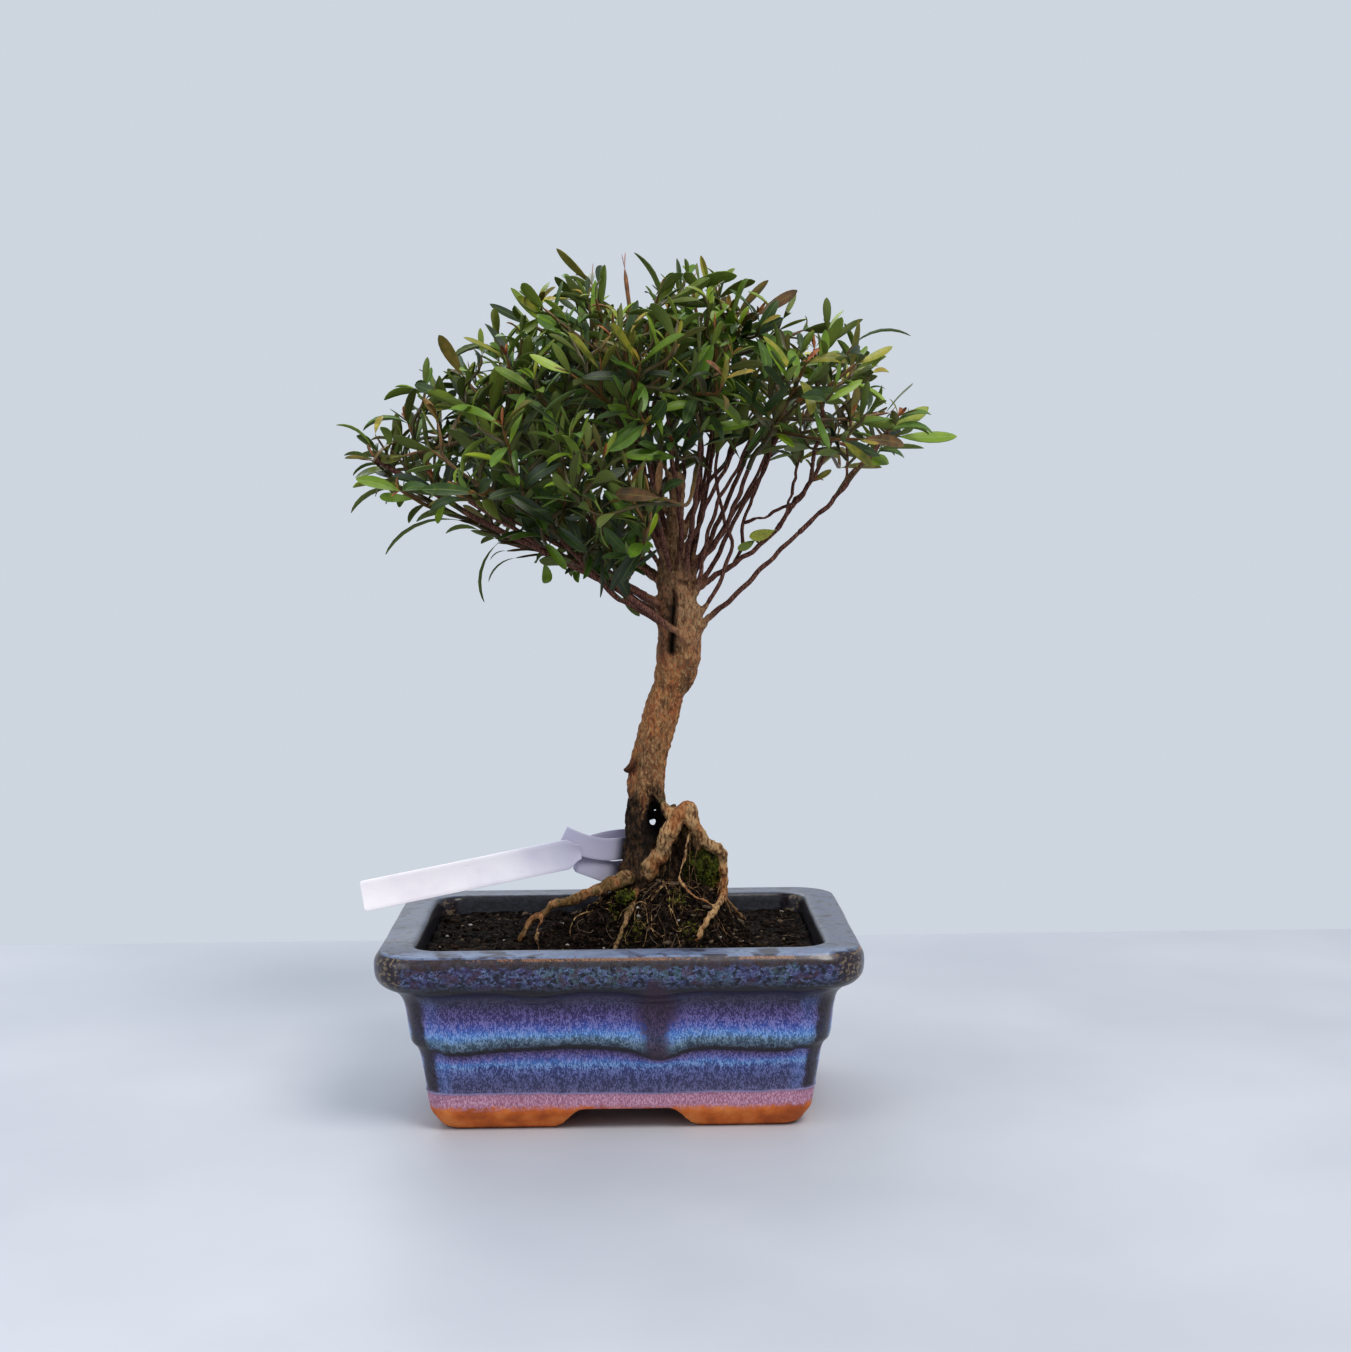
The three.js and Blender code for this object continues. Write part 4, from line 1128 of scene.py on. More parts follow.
def leader_stems(count):
    """Thin upright stems that rise from the fork and the sawn-off leader into the crown."""
    stems = []
    for k in range(count):
        start = trunk_point_at(chance.uniform(220, 264))
        angle = math.radians(chance.uniform(60, 215))
        out = np.array([math.cos(angle), math.sin(angle), 0])
        reach = chance.uniform(18, 62)
        end = start * [1, 1, 0] + out * reach + UP * (chance.uniform(300, 338) - 0.25 * reach)
        middle = start + out * reach * 0.55 + UP * (end[2] - start[2]) * 0.42
        stems.append(((0.95, 0.55), [start + out, middle, end]))
    return stems


def ball(bm, centre, size, subdivisions=3, rough=0.0):
    made = bmesh.ops.create_icosphere(bm, subdivisions=subdivisions, radius=1)["verts"]
    for v in made:
        swell = 1 + rough * noise.noise(v.co * 2.2 + Vector(centre))
        v.co = Vector([m + s * c * swell for m, s, c in zip(centre, size, v.co)])


def cut_hollow(mesh):
    """The mesh with the hollow of the trunk's foot cut out, and two small holes right through it."""
    bm = bmesh.new()
    ball(bm, FOOT_HOLLOW["centre"], FOOT_HOLLOW["size"], 4, 0.5)
    for radius, near, far in PEEPHOLES:
        tube(bm, Path(near, far), taper(radius, radius * 1.3), 16, 20)
    fused = with_modifiers(bm, ("REMESH", {"mode": "VOXEL", "voxel_size": 0.5}))
    cutter = put_in_scene("hollow", fused)
    bm = bmesh.new()
    bm.from_mesh(mesh)
    cut = with_modifiers(
        bm,
        ("BOOLEAN", {"operation": "DIFFERENCE", "object": cutter, "solver": "EXACT"}),
        ("REMESH", {"mode": "VOXEL", "voxel_size": VOXEL}),
        ("SMOOTH", {"factor": 0.5, "iterations": 2}),
    )
    bpy.data.objects.remove(cutter)
    return cut


VOXEL = 0.6
chance = random.Random(12)
STEMS += leader_stems(11)
for k, points in LIMB_COURSES.items():
    limbs[k] = (Path(*points), limbs[k][1])
    sprays[k]["limb"] = limbs[k][0]
limb_paths = [(wandering(path, 1.0, k), *LIMB_GIRTH) for k, (path, target) in enumerate(limbs)]
stem_paths = [(wandering(Path(*points), 1.4, 40 + k), *girth) for k, (girth, points) in enumerate(STEMS)]


def build_tree():
    bm = bmesh.new()
    tube(bm, TRUNK, trunk_radius, 48, 150)
    root_paths = [Path(*points) for girth, points in ROOTS]
    for (girth, points), path in zip(ROOTS, root_paths):
        def knobbly(along, angle, point, girth=girth):
            base = girth[0] + (girth[1] - girth[0]) * along
            broad, fine = noise.noise(Vector(point) * 0.17), noise.noise(Vector(point) * 0.5)
            return base * (1 + 0.22 * broad + 0.16 * fine)

        tube(bm, wandering(path, 1.3 if girth[0] > 2 else 0.9, girth[0]), knobbly, 20, int(path.length * 1.2))
    for centre, size in DARK_LUMPS:
        ball(bm, centre, size, 4, 0.45)
    lumpy = lambda along, angle, point: 4.4 * (1 + 0.3 * noise.noise(Vector(point) * 0.3))
    tube(bm, wandering(DARK_MASS, 1.5, 3), lumpy, 20, 60)
    for inner, outer, girth in SPURS:
        tube(bm, Path(inner, outer), taper(girth * 1.5, girth), 12, 12)
    collar_length = 16
    trunk_near, shade_mass_near = samples_of([TRUNK]), samples_of([DARK_MASS, UNDER_ARCH])
    for path, first, last in limb_paths + stem_paths:
        part = collar_length / path.length
        collar = Path(*path.points(np.linspace(0, part, 8)))
        swelling = 1.5 if trunk_near.find(path.point(0))[2] < 14 else 0.2
        tube(bm, collar, limb_radius(first, first + (last - first) * part, collar_length, swelling), 16, 24)
    fused = with_modifiers(bm, ("REMESH", {"mode": "VOXEL", "voxel_size": VOXEL}))
    mesh = cut_hollow(fused)
    bm = bmesh.new()
    bm.from_mesh(mesh)
    bpy.data.meshes.remove(mesh)
    bm.normal_update()
    root_near, crack_near = samples_of(root_paths), samples_of([CRACK], 0.6)
    spur_near = samples_of([Path(inner, outer) for inner, outer, girth in SPURS], 0.6)
    pale_near = samples_of([root_paths[k] for k in (0, 1, 4, 5)])
    layers = {name: bm.verts.layers.float.new(name) for name in ("root", "hollow", "twig", "strand")}
    strand_near = samples_of([STRAND], 0.6)
    centre, size = FOOT_HOLLOW["centre"], FOOT_HOLLOW["size"]
    moves = []
    for v in bm.verts:
        p = v.co
        from_trunk = trunk_near.find(p)[2] - float(np.interp(p.z, GIRTH_HEIGHTS, GIRTHS))
        on_root = smoothstep(0.5, 3, from_trunk) if p.z < 150 and root_near.find(p)[2] < 7 else 0
        # Nearer the dark mass and the space under the arch than to a root's course, a root takes the trunk's
        # painted shade
        on_root *= smoothstep(-1.5, 0.5, shade_mass_near.find(p)[2] - root_near.find(p)[2])
        crack = bump(crack_near.find(p)[2], 2.1)
        in_hollow = math.sqrt(sum(((a - b) / c) ** 2 for a, b, c in zip(p, centre, size)))
        below = math.hypot((p.x - centre[0]) / 5.5, (p.y - centre[1]) / 10, (p.z - centre[2] + 8) / 15)
        shadow = 0.8 * (1 - on_root) * (1 - smoothstep(0.7, 1.2, below))
        hollow = max(1 - smoothstep(0.95, 1.3, in_hollow), shadow)
        on_limb = smoothstep(1, 9, from_trunk) if p.z > 190 else 0
        foot = 1 - smoothstep(125, 140, p.z)
        drawn = Vector((p.x * 0.34, p.y * 0.34, p.z * 0.12))
        ridges = noise.ridged_multi_fractal(drawn, 0.9, 2.1, 4, 1.0, 2.0) - 1.1
        lumps = noise.noise(p * 0.14)
        flakes = noise.noise(Vector((p.x * 0.55, p.y * 0.55, p.z * 0.34)))
        grain = noise.noise(Vector((p.x * 1.0, p.y * 1.0, p.z * 0.5)))
        out = (0.45 + 0.25 * foot) * ridges + (0.7 + 0.5 * foot) * lumps + 0.45 * flakes + 0.3 * grain
        out *= 1 - 0.8 * on_limb - 0.3 * on_root
        moves.append(v.normal * (out - 5.0 * crack))
        v[layers["root"]] = on_root * (1 if pale_near.find(p)[2] < 7 else 0.5)
        # The hollow mark: painted shade in the hollow, below it and in the crack, and the knobs' own dark
        # colour near the spurs
        v[layers["hollow"]] = min(1, 1.4 * crack + 0.9 * hollow + bump(spur_near.find(p)[2], 2.6))
        v[layers["twig"]] = on_limb
        v[layers["strand"]] = bump(strand_near.find(p)[2], 3.4)
    for v, move in zip(bm.verts, moves):
        v.co += move
    marks = {"twig": 1.0, "root": 0.0, "hollow": 0.0, "strand": 0.0}
    for path, first, last in limb_paths + stem_paths:
        part = 12 / path.length
        rest = Path(*path.points(np.linspace(part, 1, 22)))
        radius = limb_radius(first + (last - first) * part, last, 1e3, 0)
        tube(bm, rest, radius, 8, int(rest.length / 2.4), marks=marks)
    place_piece("tree_wood", bm, [BARK], ["tree"])


build_tree()


# Leaves: a blade is a flat grid given thickness, then narrowed, folded along its midrib and bent
BLADE_SHAPE = [
    (0, 0.03), (0.08, 0.06), (0.2, 0.24), (0.35, 0.4), (0.52, 0.49),
    (0.68, 0.5), (0.82, 0.42), (0.93, 0.26), (1, 0.05),
]
FOLD_DEPTH, ROLL_DEPTH = 0.11, 0.13


def blade_mesh(bend, fold, sway, roll):
    bm = bmesh.new()
    bm.loops.layers.uv.new("blade")
    for name in ("tone_and_shade", "youth"):
        bm.verts.layers.float.new(name)
    under = bm.faces.layers.float.new("underside")
    bmesh.ops.create_grid(bm, x_segments=2, y_segments=8, size=0.5, calc_uvs=True)
    for v in bm.verts:
        station = round((v.co.y + 0.5) * 8)
        v.co.y = BLADE_SHAPE[station][0] - 0.5
    bmesh.ops.solidify(bm, geom=bm.faces[:], thickness=0.012)
    bm.normal_update()
    for f in bm.faces:
        f[under] = 1.0 if f.normal.z < -0.5 else 0.0
        f.smooth = True
    stations, widths = zip(*BLADE_SHAPE)
    for v in bm.verts:
        along, side = v.co.y + 0.5, 2 * v.co.x
        half = float(np.interp(along, stations, widths))
        x = side * half + sway * math.sin(math.pi * along) * 0.5
        lift = half * (fold * abs(side) * FOLD_DEPTH + roll * side * along * ROLL_DEPTH)
        lift += v.co.z * (0.35 + 2 * half)
        angle = bend * along
        v.co = (
            x,
            math.sin(angle) / bend + lift * math.sin(angle),
            -(1 - math.cos(angle)) / bend + lift * math.cos(angle),
        )
    bmesh.ops.recalc_face_normals(bm, faces=bm.faces)
    mesh = mesh_of("blade", bm)
    return mesh


BLADES = [
    blade_mesh(bend, fold, chance.uniform(-0.35, 0.35), chance.uniform(-0.7, 0.7))
    for bend in (-0.25, 0.1, 0.3, 0.5, 0.8, 1.25)
    for fold in (0.4, 1.2)
]


class Spray:
    """One spray in the making: its twigs and its leaves, each in a bmesh."""

    def __init__(self):
        self.twigs, self.blades = bmesh.new(), bmesh.new()
        for bm in (self.twigs, self.blades):
            bm.loops.layers.uv.new("blade")
            bm.faces.layers.float.new("underside")
            for name in ("tone_and_shade", "youth"):
                bm.verts.layers.float.new(name)
        self.layers = [self.blades.verts.layers.float.get(name) for name in ("tone_and_shade", "youth")]

    def finished(self):
        """The whole spray as one bmesh."""
        mesh = mesh_of("leafage", self.blades)
        self.twigs.from_mesh(mesh)
        bpy.data.meshes.remove(mesh)
        return self.twigs

    def twig(self, path, first, last, youth, sides=6):
        def radius(along, angle, point):
            swelling = 0.25 * math.sin(along * path.length / 7.6 * 2 * math.pi) ** 8
            tip = 1 - 0.6 * smoothstep(0.96, 1, along)
            return (first + (last - first) * along) * (1 + swelling) * tip

        fresh = lambda along: youth * (0.35 + 0.65 * along)
        tube(self.twigs, path, radius, sides, max(4, int(path.length / 3)), 1, {"youth": fresh, "tone_and_shade": 0.0})

    def leaf(self, start, along, across, length, width, youth=0.0, blade=None, tone_and_shade=None):
        upper = np.cross(along, across)
        columns = np.array([-across * width, along * length, upper * length])
        place = Matrix([[*columns[:, r], start[r]] for r in range(3)] + [[0, 0, 0, 1]])
        new = added(self.blades, blade or chance.choice(BLADES))
        reach = [CANOPY_REACH[side] for side in ("right", "front", "up")]
        depth = np.linalg.norm((start - CANOPY_CENTRE) / reach)
        raised = (start[2] - CANOPY_CENTRE[2]) / CANOPY_REACH["up"]
        # Painted light and shade with tone that differs at random: leaves lighter toward the crown's outside
        # and top, darker inside it
        if tone_and_shade is None:
            tone_and_shade = min(1, max(0, chance.gauss(0.04 + 0.27 * depth + 0.2 * raised, 0.24)))
        for v in new:
            v[self.layers[0]], v[self.layers[1]] = tone_and_shade, youth
        bmesh.ops.transform(self.blades, matrix=place, verts=new)

    def tip_buds(self, path):
        """A pair of small young leaves closed over the shoot's tip."""
        start, tangent = path.point(0.99), path.tangent(1)
        level = unit(np.cross(tangent, UP + 0.01))
        level = turned(level, tangent, chance.uniform(0, math.pi))
        youth = chance.choice((1.0, 0.8, 0.5, 0.2))
        for side in (-1, 1):
            opening = math.radians(chance.uniform(8, 24))
            along = tangent * math.cos(opening) + level * side * math.sin(opening)
            across = unit(np.cross(tangent, along))
            length = chance.uniform(5, 9)
            self.leaf(start, along, across, length, length * 0.2, youth)


def crown_floor(x, y):
    """The height that leaves keep above: low in the middle, rising to the left, open on the right."""
    right = 58 * smoothstep(8, 30, x) - 5 * smoothstep(78, 100, x)
    left = 4 * smoothstep(-8, 12, -x) + 0.42 * max(0, -x)
    return 222 + right + left + 14 * smoothstep(40, 95, abs(y))


def hides_leader(p):
    """Whether a point stands in front of the sawn-off leader, which is bare."""
    return p[1] < 6 and p[2] < LEADER_TOP and abs(p[0] - LEADER_X) < 9


def crowds_crest(p):
    """Whether a point is beside the red shoot that stands over the crown."""
    return p[2] > 342 and abs(p[0] - 5) < 9


def leaf_on(spray, owner, start, tangent, turn, opening, length, width, youth):
    level = unit(np.cross(tangent, UP + 0.001))
    for attempt in range(4):
        out = turned(level, tangent, turn + attempt * 0.4)
        along = tangent * math.cos(opening) + out * math.sin(opening)
        tip = start + along * length
        if tip[2] > TREE_HEIGHT - 1 or tip[2] < crown_floor(tip[0], tip[1]) - 7:
            continue
        spots = [start + along * length * share for share in (0, 0.35, 0.7, 1)]
        if crowds_crest(tip) or any(hides_leader(spot) for spot in spots):
            continue
        if room.gap(start + along * 5, tip, width * 0.22) <= 0.1:
            continue
        room.take(start + along * 5, tip, width * 0.22, owner)
        spray.leaf(start, along, unit(np.cross(tangent, along)), length, width, youth)
        return


def clothe(spray, owner, path, pairs, spacing, youth=0.0):
    """Opposite pairs of leaves down a shoot from its tip, each pair crossing the next."""
    quarter = chance.uniform(0, math.pi)
    for pair in range(pairs):
        share = 1 - pair * spacing / path.length
        if share < 0.08:
            return
        start, tangent = path.point(share), path.tangent(share)
        for side in (0, math.pi):
            turn = quarter + side + (math.pi / 2) * (pair % 2) + chance.uniform(-0.25, 0.25)
            opening = math.radians(chance.uniform(20, 42) + 9 * min(pair, 3))
            length = LEAF_LENGTH * chance.triangular(0.5, 1.25, 0.68) * (0.66 if pair == 0 else 1)
            width = length * chance.uniform(0.16, 0.27)
            tone = youth * (1, 0.5, 0.15, 0, 0, 0)[pair]
            leaf_on(spray, owner, start, tangent, turn, opening, length, width, tone)


class Anchors:
    """Points on the wood of the crown from which more shoots can start."""

    def __init__(self):
        self.points, self.tangents, self.sprays = [], [], []

    def put(self, path, low, high, index):
        for share in np.linspace(low, high, max(2, int(path.length * (high - low) / 2.5))):
            self.points.append(path.point(share))
            self.tangents.append(path.tangent(share))
            self.sprays.append(index)

    def best_for(self, target):
        points, tangents = np.array(self.points), np.array(self.tangents)
        away = target - points
        distance = np.linalg.norm(away, axis=1)
        heading = (away * tangents).sum(1) / np.maximum(distance, 1e-6)
        steepness = away[:, 2] / np.maximum(distance, 1e-6)
        cost = np.abs(distance - 22) + 22 * np.abs(heading - 0.75) - 8 * steepness + 200 * (distance < 9)
        k = int(np.argmin(cost))
        return points[k], tangents[k], self.sprays[k], distance[k]


anchors = Anchors()
THINNER_RIGHT = 0.65


def emptiest_spot():
    """Of some places in the crown, the one farthest from all leaves and twigs."""
    best, most_room, trials = None, -99, 0
    while trials < 12 or best is None:
        trials += 1
        d = unit(np.array([chance.gauss(0, 1), chance.gauss(0, 1), chance.gauss(0.4, 0.9)]))
        spot = CANOPY_CENTRE + d * reach_along(d) * chance.uniform(0.3, 0.87) ** 0.6
        if spot[2] < crown_floor(spot[0], spot[1]) + 5 or spot[2] > TREE_HEIGHT - 12 or hides_leader(spot):
            continue
        if crowds_crest(spot) or (spot[0] > 45 and chance.random() < THINNER_RIGHT):
            continue
        there = room.gap(spot - UP * 4, spot + UP * 8, 1)
        if there > most_room:
            best, most_room = spot, there
    return best


def fill_shoot(number):
    target = emptiest_spot()
    start, tangent, index, distance = anchors.best_for(target)
    if distance > 58:
        return
    heading = unit(target - start)
    low = start + (tangent * 0.5 + heading * 0.5) * distance * 0.35 - UP * 0.05 * distance
    high = target - unit(heading * 0.7 + UP * 0.5) * distance * 0.3
    path = Path(start, low, high, target)
    if any(hides_leader(p) for p in path.points(np.linspace(0.25, 1, 7))):
        return
    outer = np.linalg.norm(target - CANOPY_CENTRE) > 62
    youth = chance.choice((0, 0, 0, 0, 0.15, 0.5)) if outer else 0
    spray, owner = made_sprays[index], 1000 + number
    spray.twig(path, 0.8 + 0.006 * distance, 0.5, 0.2 + 0.7 * youth)
    room.take_path(Path(path.point(0.3), path.point(1)), 0.6, owner, 2)
    anchors.put(path, 0.35, 0.9, index)
    clothe(spray, owner, path, chance.choice((3, 4, 4, 5)), chance.uniform(5, 7.5), youth)
    if chance.random() < 0.35:
        spray.tip_buds(path)


made_sprays = [Spray() for laid in sprays]
wood_near = samples_of([path for path, first, last in limb_paths + stem_paths], 0.5)
for index, (spray, laid) in enumerate(zip(made_sprays, sprays)):
    anchors.put(laid["limb"], 0.4, 1, index)
    lead = laid["lead"]
    lead_end = lead.point(1)
    lead_shown = lead_end[2] >= crown_floor(*lead_end[:2]) - 8
    if lead_shown:
        spray.twig(wandering(lead, 0.5, index), 1.15, 0.7, 0.2, 7)
        spray.tip_buds(lead)
        anchors.put(lead, 0, 0.9, index)
    for shoot, leaves in laid["shoots"]:
        end = shoot.point(1)
        if end[2] < crown_floor(end[0], end[1]) - 1 or crowds_crest(end):
            continue
        drawn = shoot
        if not lead_shown:
            stalk = np.array(wood_near.find(Vector(shoot.point(0.3)))[0])
            drawn = Path(stalk, shoot.point(0.5), shoot.point(0.75), end)
        spray.twig(drawn, 0.95, 0.6, 0.5)
        spray.tip_buds(drawn)
        anchors.put(drawn, 0.1, 0.8, index)
        for start, along, across, length, width in leaves:
            tip = start + along * length
            if crowds_crest(tip):
                continue
            if tip[2] < crown_floor(tip[0], tip[1]) - 6:
                continue
            if hides_leader(tip) or hides_leader((start + tip) / 2):
                continue
            narrowed = width * chance.uniform(0.58, 0.8)
            spray.leaf(start, along, across, length, narrowed, chance.choice((0, 0, 0, 0, 0.3)))
spray_tips = np.array([laid["lead"].point(0.6) for laid in sprays])


def nearest_spray(spot):
    return int(np.argmin(np.linalg.norm(spray_tips - spot, axis=1)))


for k, (path, first, last) in enumerate(stem_paths):
    index = nearest_spray(path.point(1))
    room.take_path(path, 1.2, 500 + k, 6)
    anchors.put(path, 0.3, 1, index)
    clothe(made_sprays[index], 500 + k, path, 3, 8, 0.3)
    made_sprays[index].tip_buds(path)
for number in range(FILL_SHOOTS):
    fill_shoot(number)

# Leaves placed one by one: drooping ones at the left, and those that stand clear of the crown at both ends
for first, last, width, facing, tone_and_shade in HANGING_LEAVES:
    start, tip = np.array(first, float), np.array(last, float)
    spray = made_sprays[nearest_spray(start)]
    fall, facing = tip - start, math.radians(facing)
    length = np.linalg.norm(fall)
    heading = unit(fall + UP * 0.62 * math.cos(facing) * length)
    stalk = anchors.best_for(start + UP * 4)[0]
    spray.twig(Path(stalk, (stalk + start) / 2 + UP, start), 0.6, 0.45, 0.3)
    across = turned(unit(np.cross(UP, fall)), heading, facing)
    spray.leaf(start, heading, across, length * 1.1, width, 0.0, BLADES[-2], tone_and_shade)

# Two lit leaves in the open fan of stems at the right: base, fall, length, width, tone and painted light
BRIGHT_LEAVES = [
    ((68.5, 3.5, 246), (-12, -2, -3.6), 12.5, 5.0, 0.98),
    ((59.8, 2, 241.7), (-7.6, -2, -4), 9.5, 3.6, 0.5),
]
for base, fall, length, width, tone_and_shade in BRIGHT_LEAVES:
    heading = unit(np.array(fall, float))
    bright_spray = made_sprays[nearest_spray(base)]
    stalk = np.array(wood_near.find(Vector(base) + Vector((2, 0, -1)))[0])
    bright_spray.twig(Path(stalk, (stalk + base) / 2, base), 0.5, 0.4, 0.4)
    across = unit(np.cross(heading, (0.1, -1, 0.3)))
    bright_spray.leaf(np.array(base), heading, across, length, width, 0.0, BLADES[4], tone_and_shade)

# The red shoot that stands over the crown
crest = Path((7, -8, 336), (5.6, -7, 347), (4.6, -6, 356))
made_sprays[13].twig(crest, 1.0, 0.7, 1.0)
for side, length in ((-1, 7.5), (1, 8.0)):
    heading = unit(np.array([-0.08 + 0.06 * side, 0.02, 1]))
    made_sprays[13].leaf(crest.point(0.96), heading, np.array([0, side, 0.0]), length, 2.6, 1.3, BLADES[2])

for index, spray in enumerate(made_sprays):
    name = f"spray_{index + 1:02d}"
    place_piece("leafy_" + name, spray.finished(), [LEAF, TWIG], [name], 60)


# Compost: the filling with its mound, then chips, fibres and pale grains strewn on it
MOUND = {"x": 22, "y": -3, "height": 26, "radius": 27.5}
RIDGE = {"from_x": 8, "to_x": -42, "from_height": 25, "to_height": 4, "width": 10}
SOIL_WALL = [(68.95, FLOOR_TOP + FIT_GAP), (71.45, 18.5), (76.45, 36), (82.25, SOIL_LEVEL)]


def soil_height(x, y):
    mound = MOUND["height"] * math.exp(-(math.hypot(x - MOUND["x"], y - MOUND["y"]) / MOUND["radius"]) ** 4)
    share = min(1, max(0, (x - RIDGE["from_x"]) / (RIDGE["to_x"] - RIDGE["from_x"])))
    beyond = max(0, x - RIDGE["from_x"], RIDGE["to_x"] - x)
    crest = RIDGE["from_height"] + (RIDGE["to_height"] - RIDGE["from_height"]) * share
    ridge = crest * bump(math.hypot(y + 6 + 16 * share, beyond), RIDGE["width"])
    lumps = 0.8 * math.sin(x / 5.3) * math.cos(y / 4.7) + 0.5 * math.sin((x + y) / 3.1)
    return SOIL_LEVEL + max(mound, ridge) + lumps


def soil_surface(x, y):
    rough = noise.fractal(Vector((x * 0.16, y * 0.16, 3)), 0.8, 2.1, 4)
    crumbs = noise.noise(Vector((x * 0.8, y * 0.8, 9)))
    return soil_height(x, y) + 1.1 * rough + 0.5 * crumbs


def build_soil():
    profile = [(0, FLOOR_TOP + FIT_GAP), *SOIL_WALL[:-1]]
    top = [SOIL_WALL[-1][0] * (1 - (k / 68) ** 0.92) for k in range(69)]
    profile += [(radius, None) for radius in top]
    rings = [ring_of(max(radius, 1e-4), 60, 44, 12) for radius, z in profile]
    count, stations = len(rings[0]), len(profile) - 1
    bm = new_bmesh("kind")
    for v in bmesh.ops.create_grid(bm, x_segments=count, y_segments=stations, size=0.5)["verts"]:
        i, j = round((v.co.x + 0.5) * count) % count, round((v.co.y + 0.5) * stations)
        x, y = rings[j][i][:2]
        z = profile[j][1]
        v.co = (x, y, soil_surface(x, y) if z is None else z)
    bmesh.ops.remove_doubles(bm, verts=bm.verts, dist=1e-4)
    bmesh.ops.recalc_face_normals(bm, faces=bm.faces)
    place_piece("compost_bed", bm, [COMPOST], ["soil"])


def strewn_spot():
    """A place on the compost, oftener on the mound than at the sides."""
    if chance.random() < 0.5:
        return chance.uniform(-79, 79), chance.uniform(-54, 54)
    angle, away = chance.uniform(0, 2 * math.pi), 34 * math.sqrt(chance.random())
    return 14 + 1.3 * away * math.cos(angle), -6 + away * math.sin(angle)


CHIP_COUNT, FIBRE_COUNT = 3000, 420
CREEPING_ROOTLETS, HANGING_ROOTLETS = 150, 9


def build_crumbs():
    chips = []
    for kind in range(5):
        bm = new_bmesh("kind")
        bmesh.ops.create_icosphere(bm, subdivisions=1, radius=1)
        for v in bm.verts:
            v.co *= 1 + 0.35 * noise.noise(v.co * 1.3 + Vector((kind * 7, 0, 0)))
        mesh = mesh_of("chip", bm)
        chips.append(mesh)
    bm = bmesh.new()
    layer = bm.verts.layers.float.new("kind")
    for k in range(CHIP_COUNT):
        x, y = strewn_spot()
        size = chance.uniform(0.4, 1.2) if k % 9 else chance.uniform(1.2, 2.2)
        shares = (chance.triangular(0.8, 2.6, 1), chance.uniform(0.5, 1), chance.uniform(0.3, 0.7))
        flat = tuple(size * share for share in shares)
        turn = Matrix.Rotation(chance.uniform(0, 6.3), 4, "Z")
        turn = turn @ Matrix.Rotation(chance.gauss(0, 0.4), 4, "X")
        new = added(bm, chance.choice(chips))
        kind = min(0.9, max(0.03, chance.gauss(0.38, 0.26)))
        if k % 110 == 0:
            kind, flat = 0.96, (1.3, 0.9, 0.7)
        for v in new:
            v[layer] = kind
        place = Matrix.Translation((x, y, soil_surface(x, y) + 0.15)) @ turn @ Matrix.Diagonal((*flat, 1))
        bmesh.ops.transform(bm, matrix=place, verts=new)
    for k in range(FIBRE_COUNT):
        x, y = strewn_spot()
        angle, length = chance.uniform(0, 2 * math.pi), chance.uniform(4, 13)
        spots = []
        for i in range(4):
            away = length * (i / 3 - 0.5)
            px = x + away * math.cos(angle) + chance.gauss(0, 0.7)
            py = y + away * math.sin(angle) + chance.gauss(0, 0.7)
            px, py = min(80, max(-80, px)), min(55, max(-55, py))
            spots.append((px, py, soil_surface(px, py) + 0.25 + abs(chance.gauss(0, 0.5))))
        girth = chance.uniform(0.12, 0.3)
        kind = chance.choice((0.2, 0.35, 0.6, 0.8))
        tube(bm, Path(*spots), taper(girth, girth * 0.6), 4, 6, marks={"kind": kind})
    place_piece("compost_crumbs", bm, [COMPOST])


def build_rootlets():
    """Fine roots that creep over the mound, and a few that hang from the arching root."""
    bm = new_bmesh("tone")
    for k in range(CREEPING_ROOTLETS):
        angle, away = chance.uniform(0, 2 * math.pi), chance.uniform(3, 26)
        x, y = 16 + 1.2 * away * math.cos(angle), -8 + away * math.sin(angle)
        spots, heading = [], angle + chance.gauss(0, 0.9)
        for i in range(7):
            lift = 0.35 + (0.9 * chance.random() if 0 < i < 6 else -0.4)
            spots.append((x, y, soil_surface(x, y) + lift))
            heading += chance.gauss(0, 0.55)
            pace = chance.uniform(1.6, 3.6)
            x, y = x + pace * math.cos(heading), y + pace * math.sin(heading)
        girth = chance.choice((0.13, 0.16, 0.2, 0.26, 0.34))
        tone = chance.choice((-0.4, -0.2, 0, 0.2, 0.5))
        tube(bm, Path(*spots), taper(girth, girth * 0.5), 5, 16, marks={"tone": tone})
    for k in range(HANGING_ROOTLETS):
        root = Path(*ROOTS[k % 2][1])
        spot = root.point(chance.uniform(0.35, 0.95))
        x, y = spot[0] + chance.gauss(0, 2.5), spot[1] - chance.uniform(1, 5)
        low = soil_surface(x, y)
        if spot[2] - low < 5:
            continue
        middle = ((spot[0] + x) / 2 + chance.gauss(0, 1.2), (spot[1] + y) / 2 - 1, (spot[2] + low) / 2)
        drop = Path(spot, middle, (x, y, low - 0.5))
        girth = chance.uniform(0.18, 0.34)
        tone = chance.choice((-0.2, 0.1, 0.4))
        tube(bm, drop, taper(girth, 0.14), 5, 16, marks={"tone": tone})
    place_piece("fine_rootlets", bm, [ROOTLET])


def tuft_mesh():
    bm = bmesh.new()
    tip = bm.verts.layers.float.new("tip")
    for k in range(6):
        lean = Matrix.Rotation(k * 1.05, 4, "Z") @ Matrix.Rotation(chance.uniform(0.15, 0.8), 4, "Y")
        sprig = {"segments": 3, "radius1": 0.11, "radius2": 0.02, "depth": 1}
        made = bmesh.ops.create_cone(bm, cap_ends=False, **sprig)["verts"]
        for v in made:
            v[tip] = v.co.z + 0.5
        bmesh.ops.transform(bm, matrix=lean @ Matrix.Translation((0, 0, 0.5)), verts=made)
    mesh = mesh_of("tuft", bm)
    return mesh


TUFTS = [tuft_mesh() for k in range(4)]


